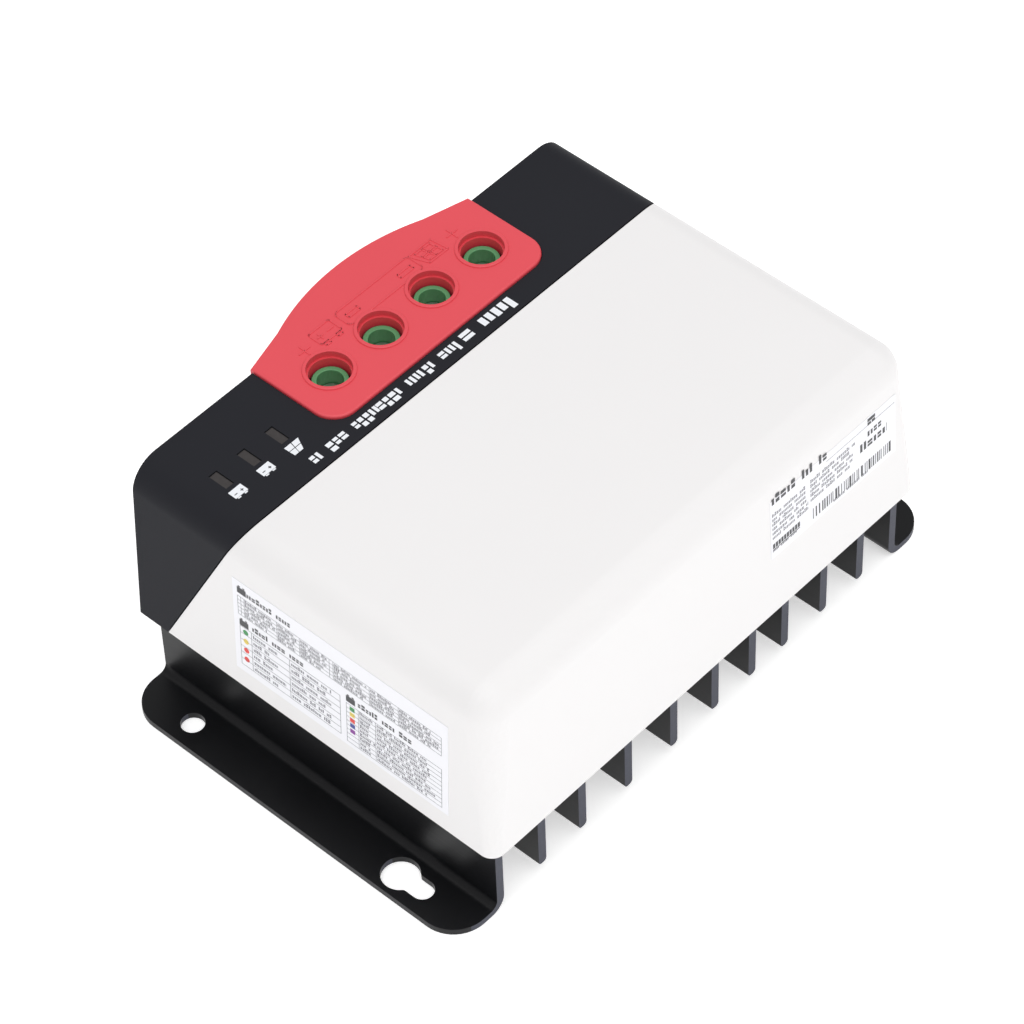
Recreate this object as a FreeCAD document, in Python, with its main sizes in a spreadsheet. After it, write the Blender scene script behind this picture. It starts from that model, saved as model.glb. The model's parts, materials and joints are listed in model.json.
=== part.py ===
"""A wall-mounted solar charge controller, built as the real one comes apart on a bench.

Frame: the back of the heat sink lies on the plane Z = 0, +Z points out of the front face, +Y points
to the plain end and -Y to the terminal end. The origin is the middle of the whole outline, on the
mounting plane. All sizes are in millimetres.
"""

import FreeCAD, Part
import Sketcher
import os
import re

Vector = FreeCAD.Vector
Rotation = FreeCAD.Rotation

# --------------------------------------------------------------------------- driving dimensions
DIMENSIONS = {
    # the whole object
    "overall_width": 234.4,
    "overall_length": 166.0,
    "overall_depth": 102.2,
    # heat sink extrusion
    "sink_length": 147.4,
    "end_overhang": 4.1,
    "sink_height": 33.2,
    "plate_thickness": 5.0,
    "flange_width": 18.9,
    "flange_thickness": 2.5,
    "flange_corner": 12.8,
    "web_thickness": 3.3,
    "root_fillet": 3.0,
    "heel_radius": 5.9,
    "fin_recess": 4.2,
    "fin_thickness": 3.6,
    "fin_tip_round": 1.5,
    "first_fin_inset": 18.0,
    # wall fixings in the flanges
    "fixing_inset": 8.4,
    "fixing_radius": 4.1,
    "fixing_end_distance": 22.8,
    "keyhole_end_distance": 31.9,
    "keyhole_radius": 6.5,
    "keyhole_travel": 9.6,
    "slot_radius": 3.9,
    "slot_neck_round": 1.5,
    # plastic casing
    "case_overhang": 5.0,
    "case_wall": 2.6,
    "case_draft": 3.3,
    "terminal_end_y": 71.6,
    "terminal_end_draft": 1.1,
    "case_corner_radius": 5.0,
    "case_edge_radius": 11.0,
    "seam_top_y": -25.0,
    "seam_run": 34.2,
    "seam_gap": 0.5,
    "ledge_height": 2.0,
    "ledge_width": 8.5,
    "end_ledge_width": 3.5,
    "cover_rise": 1.6,
    # screws that hold the casing to the plate
    "boss_radius": 3.6,
    "boss_height": 14.0,
    "boss_inset": 8.0,
    "boss_end_inset": 10.5,
    "boss_middle_y": -42.0,
    "boss_terminal_inset": 8.1,
    "case_screw_radius": 1.9,
    "case_screw_head_radius": 3.5,
    "case_screw_head_height": 2.4,
    "case_screw_key_radius": 1.6,
    "case_screw_key_depth": 1.4,
    "case_screw_length": 14.0,
    "case_screw_tip_gap": 1.0,
    "screw_clearance": 0.1,
    # lift-off cover over the terminals
    "cover_centre_x": -5.3,
    "cover_width": 102.2,
    "cover_inner_y": -34.1,
    "cover_thickness": 2.5,
    "cover_corner": 9.0,
    "cover_edge_round": 0.8,
    "cover_shoulder": 34.0,
    "cover_shoulder_depth": 6.7,
    "cover_skirt": 21.0,
    "cover_cheek": 9.0,
    "cover_fit": 0.25,
    "cover_rest": 3.0,
    "driver_hole_radius": 6.95,
    "driver_mouth_radius": 7.65,
    "driver_mouth_depth": 2.4,
    "driver_rim_radius": 8.9,
    "driver_rim_height": 0.5,
    "driver_rim_round": 0.4,
    "driver_tube_radius": 8.2,
    "driver_tube_depth": 7.0,
    # terminals
    "terminal_centre_x": -6.0,
    "terminal_pitch": 23.8,
    "terminal_screw_y": -52.1,
    "block_gap": 2.8,
    "block_front": 13.9,
    "block_back": 14.1,
    "block_top_wall": 4.0,
    "block_height": 41.0,
    "collar_radius": 6.1,
    "collar_bore": 4.4,
    "collar_height": 9.2,
    "clamp_width": 14.4,
    "clamp_depth": 11.6,
    "clamp_height": 21.0,
    "clamp_wall": 1.6,
    "clamp_top_wall": 2.0,
    "clamp_clearance": 0.4,
    "clamp_floor": 5.5,
    "contact_width": 10.0,
    "contact_thickness": 2.0,
    "contact_gap": 1.0,
    "contact_reach": 1.5,
    "contact_tail": 2.0,
    "contact_back_gap": 3.0,
    "clamp_screw_radius": 3.0,
    "clamp_screw_head_radius": 4.0,
    "clamp_screw_head_height": 3.4,
    "clamp_screw_fit": 0.05,
    "clamp_screw_groove_width": 1.2,
    "clamp_screw_groove_depth": 1.5,
    "wire_entry_width": 14.0,
    "wire_entry_height": 17.0,
    "wire_entry_round": 2.0,
    "wire_entry_lift": 0.5,
    # main board
    "board_width": 160.0,
    "board_thickness": 1.6,
    "board_lift": 12.0,
    "board_front_gap": 2.0,
    "board_back_gap": 14.0,
    "standoff_radius": 3.2,
    "standoff_inset": 6.0,
    "board_screw_radius": 1.5,
    "board_screw_head_radius": 2.8,
    "board_screw_head_height": 2.0,
    "board_screw_depth": 5.0,
    "thread_floor": 1.5,
    # power parts
    "core_radius": 20.0,
    "core_bore": 11.0,
    "core_height": 16.0,
    "winding_wire": 2.0,
    "winding_clearance": 0.2,
    "inductor_x": -48.0,
    "inductor_near_y": -8.0,
    "inductor_pitch": 50.0,
    "capacitor_radius": 9.0,
    "capacitor_height": 38.0,
    "capacitor_pitch": 22.0,
    "capacitor_x": -6.0,
    "capacitor_back_gap": 4.0,
    "capacitor_edge_round": 1.0,
    "film_width": 26.0,
    "film_depth": 9.0,
    "film_height": 18.0,
    "film_pitch": 13.0,
    "film_x": 50.0,
    "film_back_gap": 3.0,
    "transistor_width": 10.0,
    "transistor_length": 15.0,
    "transistor_thickness": 4.4,
    "transistor_pitch": 18.0,
    "transistor_row_x": 60.0,
    "transistor_row_y": 13.0,
    "leg_pitch": 2.5,
    "leg_width": 0.8,
    "leg_thickness": 0.6,
    "leg_lift": 2.0,
    "leg_reach": 4.0,
    "pad_thickness": 0.3,
    "pad_margin": 1.5,
    "clamp_bar_width": 8.0,
    "clamp_bar_thickness": 3.0,
    "clamp_bar_end": 5.0,
    "shunt_x": 26.0,
    "shunt_pitch": 20.0,
    "shunt_length": 18.0,
    "shunt_width": 3.0,
    "shunt_height": 6.0,
    "shunt_wall": 1.5,
    "shunt_gap": 8.0,
    # small circuits
    "chip_height": 1.6,
    "controller_x": 54.0,
    "controller_y": -8.0,
    "controller_size": 12.0,
    "driver_x": 48.0,
    "driver_y": 9.0,
    "driver_pitch": 12.0,
    "driver_width": 8.0,
    "driver_length": 5.0,
    # sockets in the terminal end
    "comms_x": 61.5,
    "comms_width": 16.0,
    "comms_height": 13.5,
    "comms_depth": 15.0,
    "comms_wall": 1.8,
    "comms_contact_pitch": 1.02,
    "comms_contact_width": 0.5,
    "comms_contact_thickness": 0.6,
    "sensor_x": 46.6,
    "sensor_width": 10.0,
    "sensor_height": 8.0,
    "sensor_depth": 11.0,
    "sensor_wall": 1.2,
    "sensor_pin_offset": 1.9,
    "sensor_pin_size": 1.0,
    "socket_gap": 1.0,
    "socket_floor": 3.0,
    "socket_pin_length": 6.0,
    "mouth_margin": 1.0,
    # indicators
    "window_x": 72.5,
    "window_pitch": 12.4,
    "window_y": -45.9,
    "window_width": 3.5,
    "window_length": 7.8,
    "window_fit": 0.1,
    "window_recess": 0.4,
    "lens_flange": 1.0,
    "lens_flange_reach": 1.0,
    "lens_length": 8.8,
    "lens_gap": 0.5,
    "lamp_width": 2.8,
    "lamp_length": 3.5,
    "lamp_height": 1.4,
    "indicator_board_width": 40.0,
    "indicator_board_length": 24.0,
    "indicator_board_thickness": 1.2,
    "indicator_post_radius": 2.2,
    "indicator_post_inset": 3.5,
    "ribbon_width": 8.0,
    "ribbon_thickness": 0.6,
    "header_height": 5.0,
    "header_depth": 4.0,
    "header_margin": 1.0,
    "header_offset": 5.0,
    # stickers
    "label_thickness": 0.15,
    "side_label_y": -27.2,
    "side_label_z": 41.2,
    "side_label_length": 91.5,
    "side_label_height": 41.6,
    "rating_label_x": -92.0,
    "rating_label_z": 58.8,
    "rating_label_length": 62.0,
    "rating_label_height": 26.0,
}
# Free spaces between neighbouring fins, centre to centre, from +X to -X.
FIN_GAPS = (19.0, 22.0, 22.0, 20.3, 18.5, 16.4, 19.6, 18.8)
TERMINALS = ("battery_positive", "battery_negative", "pv_negative", "pv_positive")
INDICATORS = ("solar", "charge", "battery")
WINDING_TURNS = 24

doc = FreeCAD.newDocument("charge_controller")
dims = doc.addObject("Spreadsheet::Sheet", "dims")
for row, (alias, size) in enumerate(DIMENSIONS.items(), 1):
    dims.set(f"A{row}", str(size))
    dims.setAlias(f"A{row}", alias)
doc.recompute()

NAME = re.compile(r"[a-z_]+")
TINY = 1e-6
nodes = []


# --------------------------------------------------------------------------- small helpers
def expression(text):
    """Puts the sheet's name before each dimension in the text."""
    return NAME.sub(lambda m: f"dims.{m.group()}" if m.group() in DIMENSIONS else m.group(), text)


def value(text):
    """The number that an expression stands for now."""
    return float(dims.evalExpression(expression(text)))


def bind(feature, prop, text):
    feature.setExpression(prop, expression(text))


def place(feature, at):
    for axis, text in zip("xyz", at):
        bind(feature, f"Placement.Base.{axis}", text)


def keep(feature, label):
    """Makes this feature a finished piece: its label names its file."""
    feature.Label = label
    nodes.append(feature)
    return feature


def box(name, x, y, z):
    """A block between pairs of lowest and highest coordinates."""
    feature = doc.addObject("Part::Box", name)
    for prop, (low, high) in zip(("Length", "Width", "Height"), (x, y, z)):
        bind(feature, prop, f"({high}) - ({low})")
    place(feature, (x[0], y[0], z[0]))
    return feature


def centred_box(name, centre, size, z):
    """A block with its middle at centre (x, y), of size (x, y), between two heights."""
    spans = [(f"{c} - ({s})/2", f"{c} + ({s})/2") for c, s in zip(centre, size)]
    return box(name, spans[0], spans[1], z)


TURN = {"z": Rotation(), "y": Rotation(Vector(1, 0, 0), -90)}


def cylinder(name, radius, at, height, axis="z"):
    """A round bar from the point at, running along +axis."""
    feature = doc.addObject("Part::Cylinder", name)
    feature.Placement = FreeCAD.Placement(Vector(), TURN[axis])
    bind(feature, "Radius", radius)
    bind(feature, "Height", height)
    place(feature, at)
    return feature


def hexagon(name, radius, at, height):
    feature = doc.addObject("Part::Prism", name)
    feature.Polygon = 6
    bind(feature, "Circumradius", radius)
    bind(feature, "Height", height)
    place(feature, at)
    return feature


def tapered(name, z, low, high):
    """A block whose outline changes from low to high, each (x0, x1, y0, y1), between two heights."""
    feature = doc.addObject("Part::Wedge", name)
    feature.Placement = FreeCAD.Placement(Vector(), Rotation(Vector(1, 0, 0), 90))
    for prefix, (x0, x1, y0, y1) in (("", low), ("2", high)):
        bind(feature, f"X{prefix}min", x0)
        bind(feature, f"X{prefix}max", x1)
        bind(feature, f"Z{prefix}min", f"-({y1})")
        bind(feature, f"Z{prefix}max", f"-({y0})")
    bind(feature, "Ymin", z[0])
    bind(feature, "Ymax", z[1])
    return feature


def fuse(name, *parts):
    feature = doc.addObject("Part::MultiFuse", name)
    feature.Shapes = list(parts)
    feature.Refine = True
    return feature


def cut(name, base, *tools):
    feature = doc.addObject("Part::Cut", name)
    feature.Base = base
    feature.Tool = tools[0] if len(tools) == 1 else fuse(name + "_tools", *tools)
    return feature


def common(name, first, second):
    feature = doc.addObject("Part::Common", name)
    feature.Base = first
    feature.Tool = second
    return feature


def group(name, parts):
    """Identical loose pieces that share one node."""
    feature = doc.addObject("Part::Compound", name)
    feature.Links = list(parts)
    return feature


def rounded(name, base, choose):
    """Rounds the edges for which choose(edge) gives a pair of radii, one for each end."""
    doc.recompute()
    feature = doc.addObject("Part::Fillet", name)
    feature.Base = base
    radii = [(number, choose(edge)) for number, edge in enumerate(base.Shape.Edges, 1)]
    feature.Edges = [(number, *pair) for number, pair in radii if pair]
    return feature


def along(edge, axis):
    """True for a straight edge that runs along the axis vector."""
    return len(edge.Vertexes) == 2 and edge.tangentAt(edge.FirstParameter).cross(axis).Length < TINY


def upright_at(x):
    """Picks the upright edges at this distance from the middle plane."""
    x = value(x)
    return lambda edge: along(edge, Vector(0, 0, 1)) and abs(abs(edge.CenterOfMass.x) - x) < TINY


def new_body(name):
    return doc.addObject("PartDesign::Body", name)


def new_sketch(body, name, role, lift=None):
    """A sketch on one of the body's own origin planes, moved along the plane's normal by lift."""
    sketch = body.newObject("Sketcher::SketchObject", name)
    plane = next(p for p in body.Origin.OriginFeatures if p.Role == role)
    sketch.AttachmentSupport = [(plane, "")]
    sketch.MapMode = "FlatFace"
    if lift:
        bind(sketch, "AttachmentOffset.Base.z", lift)
    return sketch


def pin_point(sketch, geometry, point, x, y):
    """Fixes one sketch point at the coordinates that two expressions give."""
    for kind, text in (("DistanceX", x), ("DistanceY", y)):
        rule = Sketcher.Constraint(kind, -1, 1, geometry, point, value(text))
        number = sketch.addConstraint(rule)
        bind(sketch, f"Constraints[{number}]", text)


def draw_outline(sketch, corners, arcs=None):
    """A closed outline through the corners. arcs gives {side: (radius, point on the arc)}."""
    arcs = arcs or {}
    spots = [Vector(value(x), value(y), 0) for x, y in corners]
    sides = []
    for number, start in enumerate(spots):
        end = spots[(number + 1) % len(spots)]
        if number in arcs:
            through = Vector(*(value(text) for text in arcs[number][1]), 0)
            sides.append(sketch.addGeometry(Part.Arc(start, through, end)))
        else:
            sides.append(sketch.addGeometry(Part.LineSegment(start, end)))
    for number, side in enumerate(sides):
        after = sides[(number + 1) % len(sides)]
        last, first = (1 if number in arcs and is_turned(sketch, side, spots[number]) else 2), 1
        if (number + 1) % len(sides) in arcs and is_turned(sketch, after, spots[(number + 1) % len(spots)]):
            first = 2
        sketch.addConstraint(Sketcher.Constraint("Coincident", side, last, after, first))
        if number not in arcs:
            pin_point(sketch, side, 1, *corners[number])
    for number, (radius, _) in arcs.items():
        if (number + 1) % len(sides) in arcs:
            raise ValueError("two arcs in a row have no pinned corner between them")
        limit = sketch.addConstraint(Sketcher.Constraint("Radius", sides[number], value(radius)))
        bind(sketch, f"Constraints[{limit}]", radius)
        before = sides[number - 1]
        pin_point(sketch, before, 2, *corners[number])


def is_turned(sketch, side, start):
    """True when the sketcher stored an arc from its far end to its start."""
    return (sketch.getPoint(side, 1) - start).Length > TINY


def draw_circles(sketch, circles):
    """circles is a list of (x, y, radius)."""
    for x, y, radius in circles:
        shape = Part.Circle(Vector(value(x), value(y), 0), Vector(0, 0, 1), value(radius))
        number = sketch.addGeometry(shape)
        pin_point(sketch, number, 3, x, y)
        limit = sketch.addConstraint(Sketcher.Constraint("Radius", number, value(radius)))
        bind(sketch, f"Constraints[{limit}]", radius)


def pad(body, sketch, length, both_ways=False):
    feature = body.newObject("PartDesign::Pad", sketch.Name + "_pad")
    feature.Profile = sketch
    feature.Midplane = both_ways
    bind(feature, "Length", length)
    return feature


def pocket(body, sketch, length):
    """Cuts to both sides of the sketch, and makes sure that something was cut."""
    doc.recompute()
    before = body.Shape.Volume
    feature = body.newObject("PartDesign::Pocket", sketch.Name + "_pocket")
    feature.Profile = sketch
    feature.Midplane = True
    bind(feature, "Length", length)
    doc.recompute()
    if body.Shape.Volume > before - 0.01:
        raise RuntimeError(f"{sketch.Name} cuts nothing")
    return feature


def round_edges(body, name, radius, choose):
    doc.recompute()
    base = body.Tip
    feature = body.newObject("PartDesign::Fillet", name)
    names = [f"Edge{n}" for n, edge in enumerate(base.Shape.Edges, 1) if choose(edge)]
    feature.Base = (base, names)
    bind(feature, "Radius", radius)
    return feature


# --------------------------------------------------------------------------- places that pieces share
SINK_BACK = "(overall_length/2 - end_overhang)"
SINK_FRONT = f"({SINK_BACK} - sink_length)"
WEB_X = "(overall_width/2 - flange_width)"
PLATE_UNDER = "(sink_height - plate_thickness)"
CASE_TOP = "(overall_depth - cover_rise)"
CASE_RISE = f"({CASE_TOP} - sink_height)"
CASE_BACK = "overall_length/2"
CASE_FRONT = "(-terminal_end_y)"
CASE_HALF = f"({WEB_X} + case_overhang)"
CASE_SLOPE = f"(case_draft/{CASE_RISE})"
SEAM_SLOPE = f"(seam_run/{CASE_RISE})"
BOARD_LOW = "(sink_height + board_lift)"
BOARD_TOP = f"({BOARD_LOW} + board_thickness)"
BOARD_FRONT = f"({CASE_FRONT} + case_wall + board_front_gap)"
BOARD_BACK = "(overall_length/2 - case_wall - board_back_gap)"
FIXING_X = "(overall_width/2 - fixing_inset)"
HOLE_Y = f"({SINK_FRONT} + fixing_end_distance)"
KEYHOLE_Y = f"({SINK_BACK} - keyhole_end_distance)"
KEY_SEAT_Y = f"({KEYHOLE_Y} + keyhole_travel)"
BLOCK_TOP = f"({BOARD_TOP} + block_height)"
CLAMP_LOW = f"({BOARD_TOP} + clamp_floor)"
CLAMP_TOP = f"({CLAMP_LOW} + clamp_height)"
CONTACT_TOP = f"({CLAMP_TOP} - clamp_top_wall - contact_gap)"
CONTACT_LOW = f"({CONTACT_TOP} - contact_thickness)"
BLOCK_FRONT_Y = "(terminal_screw_y - block_front)"
BLOCK_BACK_Y = "(terminal_screw_y + block_back)"
BLOCK_WIDTH = "(terminal_pitch - block_gap)"
COVER_TOP = "(overall_depth - driver_rim_height)"
COVER_LOW = f"({COVER_TOP} - cover_thickness)"
BOSS_X = f"({WEB_X} - web_thickness - boss_inset)"
BULGE_RADIUS = (
    "((cover_shoulder*cover_shoulder + cover_shoulder_depth*cover_shoulder_depth)"
    "/(2*cover_shoulder_depth))"
)
BOSS_BACK_Y = f"({CASE_BACK} - boss_end_inset)"
BOSS_FRONT_Y = f"({CASE_FRONT} + boss_terminal_inset)"
STANDOFFS = [
    (f"{side}(board_width/2 - standoff_inset)", y)
    for side in ("", "-")
    for y in (
        f"({BOARD_FRONT} + standoff_inset)",
        f"(({BOARD_FRONT} + {BOARD_BACK})/2)",
        f"({BOARD_BACK} - standoff_inset)",
    )
]
COVER_BOSSES = [(side + BOSS_X, y) for side in ("", "-") for y in (BOSS_BACK_Y, "boss_middle_y")]
HOUSING_BOSSES = [(side + BOSS_X, BOSS_FRONT_Y) for side in ("", "-")]
TERMINAL_X = [f"(terminal_centre_x + {1.5 - n}*terminal_pitch)" for n in range(len(TERMINALS))]
WINDOW_X = [f"(window_x + {n - 1}*window_pitch)" for n in range(len(INDICATORS))]
TRANSISTOR_X = ("transistor_row_x", "-transistor_row_x")
TRANSISTOR_Y = [f"(transistor_row_y + {n - 1.5}*transistor_pitch)" for n in range(4)]
BAR_SCREW_Y = [f"(transistor_row_y + {side}2.5*transistor_pitch)" for side in ("-", "")]
THREAD_LOW = f"({PLATE_UNDER} + thread_floor)"
LAMP_TOP = f"({CASE_TOP} - lens_length - lens_gap)"
INDICATOR_TOP = f"({LAMP_TOP} - lamp_height)"
INDICATOR_LOW = f"({INDICATOR_TOP} - indicator_board_thickness)"
INDICATOR_POSTS = [
    (
        f"(window_x + {side}(indicator_board_width/2 - indicator_post_inset))",
        "(window_y + indicator_board_length/2 - indicator_post_inset)",
    )
    for side in ("", "-")
]


# --------------------------------------------------------------------------- heat sink
def heat_sink():
    """Extruded aluminium: plate, nine fins, and two legs whose feet are the wall flanges."""
    body = new_body("heat_sink_body")
    fins = []
    place_x = f"{WEB_X} - web_thickness - first_fin_inset"
    for gap in (0.0,) + FIN_GAPS:
        place_x = f"{place_x} - {gap}"
        fins.append(place_x)
    corners = [("overall_width/2", "0"), ("overall_width/2", "flange_thickness")]
    corners += [(WEB_X, "flange_thickness"), (WEB_X, "sink_height")]
    corners += [(f"-{WEB_X}", "sink_height"), (f"-{WEB_X}", "flange_thickness")]
    corners += [("-overall_width/2", "flange_thickness"), ("-overall_width/2", "0")]
    corners += [(f"-({WEB_X} - web_thickness)", "0"), (f"-({WEB_X} - web_thickness)", PLATE_UNDER)]
    for centre in reversed(fins):
        left, right = f"{centre} - fin_thickness/2", f"{centre} + fin_thickness/2"
        corners += [(left, PLATE_UNDER), (left, "fin_recess"), (right, "fin_recess"), (right, PLATE_UNDER)]
    corners += [(f"{WEB_X} - web_thickness", PLATE_UNDER), (f"{WEB_X} - web_thickness", "0")]
    section = new_sketch(body, "sink_section", "XZ_Plane", f"-{SINK_BACK}")
    draw_outline(section, corners)
    pad(body, section, "sink_length")
    inner_leg = f"{WEB_X} - web_thickness"
    tip_height = value("fin_recess")

    def fin_tip(edge):
        return along(edge, Vector(0, 1, 0)) and abs(edge.CenterOfMass.z - tip_height) < TINY

    def corner_at(x, z):
        x, z = value(x), value(z)
        return lambda edge: (
            along(edge, Vector(0, 1, 0))
            and abs(abs(edge.CenterOfMass.x) - x) < TINY
            and abs(edge.CenterOfMass.z - z) < TINY
        )

    round_edges(body, "fin_tips", "fin_tip_round", fin_tip)
    round_edges(body, "leg_roots", "root_fillet", corner_at(WEB_X, "flange_thickness"))
    round_edges(body, "leg_heels", "heel_radius", corner_at(inner_leg, "0"))
    round_edges(body, "foot_corners", "flange_corner", upright_at("overall_width/2"))

    through_foot = "4*flange_thickness"
    for name, y, radius in (
        ("fixing_holes", HOLE_Y, "fixing_radius"),
        ("keyhole_heads", KEYHOLE_Y, "keyhole_radius"),
        ("keyhole_seats", KEY_SEAT_Y, "slot_radius"),
    ):
        holes = new_sketch(body, name, "XY_Plane")
        draw_circles(holes, [(side + FIXING_X, y, radius) for side in ("", "-")])
        pocket(body, holes, through_foot)
    for side, word in (("", "right"), ("-", "left")):
        slot = new_sketch(body, f"keyhole_slot_{word}", "XY_Plane")
        low = f"{side}{FIXING_X} - slot_radius"
        high = f"{side}{FIXING_X} + slot_radius"
        draw_outline(slot, [(low, KEYHOLE_Y), (high, KEYHOLE_Y), (high, KEY_SEAT_Y), (low, KEY_SEAT_Y)])
        pocket(body, slot, through_foot)
    low_y = value(KEYHOLE_Y)
    high_y = value(f"{KEYHOLE_Y} + keyhole_radius")
    sides = [upright_at(f"{FIXING_X} {sign} slot_radius") for sign in "+-"]

    def slot_neck(edge):
        return low_y < edge.CenterOfMass.y < high_y and any(near(edge) for near in sides)

    round_edges(body, "slot_necks", "slot_neck_round", slot_neck)

    case_holes = new_sketch(body, "case_screw_holes", "XY_Plane", "sink_height")
    bosses = COVER_BOSSES + HOUSING_BOSSES
    draw_circles(case_holes, [(x, y, "case_screw_radius + screw_clearance") for x, y in bosses])
    pocket(body, case_holes, "2*plate_thickness")
    tapped = new_sketch(body, "tapped_holes", "XY_Plane", "sink_height")
    spots = STANDOFFS + [(x, y) for x in TRANSISTOR_X for y in BAR_SCREW_Y]
    draw_circles(tapped, [(x, y, "board_screw_radius + screw_clearance") for x, y in spots])
    pocket(body, tapped, "2*(plate_thickness - thread_floor)")
    return keep(body, "heat_sink")


# --------------------------------------------------------------------------- casing
def case_block(name, inset, rise):
    """The casing's outer form, shrunk by inset on its sides and standing up to the height rise.

    Its terminal end is flat and keeps sharp edges. The other edges are rounded.
    """
    sides = [f"-({CASE_HALF} - {inset})", f"{CASE_HALF} - {inset}"]
    ends = [f"{CASE_FRONT} + {inset}", f"{CASE_BACK} - {inset}"]
    upper = [f"{sides[0]} + case_draft", f"{sides[1]} - case_draft"]
    upper += [f"{ends[0]} + terminal_end_draft", f"{ends[1]} - case_draft"]
    block = tapered(name + "_block", ("sink_height", rise), sides + ends, upper)
    top = value(rise)
    low_radius = value(f"case_corner_radius - {inset}")
    high_radius = value(f"case_edge_radius - {inset}")

    def radii(edge):
        first = edge.firstVertex().Point
        last = edge.lastVertex().Point
        at_terminals = max(first.y, last.y) < 0
        if at_terminals or max(first.z, last.z) < top - TINY:
            return None
        if min(first.z, last.z) > top - TINY:
            return high_radius, high_radius
        return (low_radius, high_radius) if first.z < last.z else (high_radius, low_radius)

    return rounded(name, block, radii)


def seam_side(name, toward, gap):
    """A block that holds one side of the slanted seam: toward is +1 for the plain end."""
    margin = 10
    low = f"seam_top_y - seam_run - {margin}*{SEAM_SLOPE} + {gap}"
    high = f"seam_top_y + {margin}*{SEAM_SLOPE} + {gap}"
    far = "overall_length" if toward > 0 else "-overall_length"
    spans = [(low, far), (high, far)] if toward > 0 else [(far, low), (far, high)]
    outlines = [("-overall_width", "overall_width", *span) for span in spans]
    return tapered(name, (f"sink_height - {margin}", f"{CASE_TOP} + {margin}"), *outlines)


def case_ledge(name):
    """The rim inside the bottom edge, which stands on the heat sink's plate."""
    inset = "(case_wall - 0.1)"
    outer_y = (f"{CASE_FRONT} + {inset}", f"{CASE_BACK} - {inset}")
    inner_y = (f"{SINK_FRONT} + end_ledge_width", f"{SINK_BACK} - end_ledge_width")
    height = ("sink_height", "sink_height + ledge_height")
    outer = box(name + "_outer", (f"-({CASE_HALF} - {inset})", f"{CASE_HALF} - {inset}"), outer_y, height)
    inner = box(name + "_inner", (f"-({WEB_X} - ledge_width)", f"{WEB_X} - ledge_width"), inner_y, height)
    return cut(name, outer, inner)


def boss_posts(name, spots):
    return [
        cylinder(f"{name}_{n}", "boss_radius", (x, y, "sink_height"), "boss_height")
        for n, (x, y) in enumerate(spots)
    ]


def boss_bores(name, spots):
    depth = "case_screw_length - plate_thickness + case_screw_tip_gap"
    return [
        cylinder(f"{name}_{n}", "case_screw_radius + screw_clearance/2", (x, y, "sink_height"), depth)
        for n, (x, y) in enumerate(spots)
    ]


def cover_outline(sketch, grow):
    """The lift-off cover seen from the front, with its bulge beyond the terminal end."""
    half = f"(cover_width/2 + {grow})"
    bulge = f"(-overall_length/2 - {grow})"
    shoulder_y = f"({bulge} + cover_shoulder_depth)"
    middle = "cover_centre_x"
    corners = [
        (f"{middle} + {half}", f"cover_inner_y + {grow}"),
        (f"{middle} - {half}", f"cover_inner_y + {grow}"),
        (f"{middle} - {half}", f"{CASE_FRONT} - {grow}"),
        (f"{middle} - cover_shoulder", shoulder_y),
        (f"{middle} + cover_shoulder", shoulder_y),
        (f"{middle} + {half}", f"{CASE_FRONT} - {grow}"),
    ]
    draw_outline(sketch, corners, {3: (BULGE_RADIUS, (middle, bulge))})


def round_cover_corners(body, name, radius):
    """Rounds the cover's two upright edges that face the plain end."""
    inner = max(v.Point.y for v in body.Shape.Vertexes)

    def choose(edge):
        return along(edge, Vector(0, 0, 1)) and edge.CenterOfMass.y > inner - TINY

    return round_edges(body, name, radius, choose)


def cover_recess():
    """The shallow seat that the lift-off cover lies in, as a cutting tool."""
    body = new_body("cover_recess")
    outline = new_sketch(body, "cover_recess_outline", "XY_Plane", COVER_LOW)
    cover_outline(outline, "cover_fit")
    pad(body, outline, "2*cover_thickness")
    doc.recompute()
    round_cover_corners(body, "cover_recess_corners", "cover_corner + cover_fit")
    return body


def terminal_tools():
    """Everything that is cut out of the terminal housing, apart from its screw bores."""
    left = "cover_centre_x - cover_width/2 + cover_rest"
    right = "cover_centre_x + cover_width/2 - cover_rest"
    window = (f"{CASE_FRONT} + 1.5*case_wall", "cover_inner_y - cover_rest")
    through_top = (f"{CASE_TOP} - 1.5*case_wall", f"{CASE_TOP} + case_wall")
    tools = [cover_recess(), box("terminal_window", (left, right), window, through_top)]
    wall = (f"{CASE_FRONT} - case_wall", f"{CASE_FRONT} + 1.5*case_wall")
    entry_low = f"({CLAMP_LOW} + wire_entry_lift)"
    for name, x in zip(TERMINALS, TERMINAL_X):
        half = "wire_entry_width/2"
        height = (entry_low, f"{entry_low} + wire_entry_height")
        hole = box(f"{name}_entry_block", (f"{x} - {half}", f"{x} + {half}"), wall, height)
        tools.append(rounded(f"{name}_entry", hole, lengthwise_radius("wire_entry_round")))
    for name, x, width, height in (
        ("comms", "comms_x", "comms_width", "comms_height"),
        ("sensor", "sensor_x", "sensor_width", "sensor_height"),
    ):
        spans = (f"{x} - {width}/2 + mouth_margin", f"{x} + {width}/2 - mouth_margin")
        height = (f"{BOARD_TOP} + mouth_margin", f"{BOARD_TOP} + {height} - mouth_margin")
        tools.append(box(f"{name}_mouth", spans, wall, height))
    for name, x in zip(INDICATORS, WINDOW_X):
        size = ("window_width", "window_length")
        tools.append(centred_box(f"{name}_opening", (x, "window_y"), size, through_top))
    return tools


def lengthwise_radius(radius):
    """Picks the edges that run along Y."""
    size = value(radius)
    return lambda edge: (size, size) if along(edge, Vector(0, 1, 0)) else None


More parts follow.
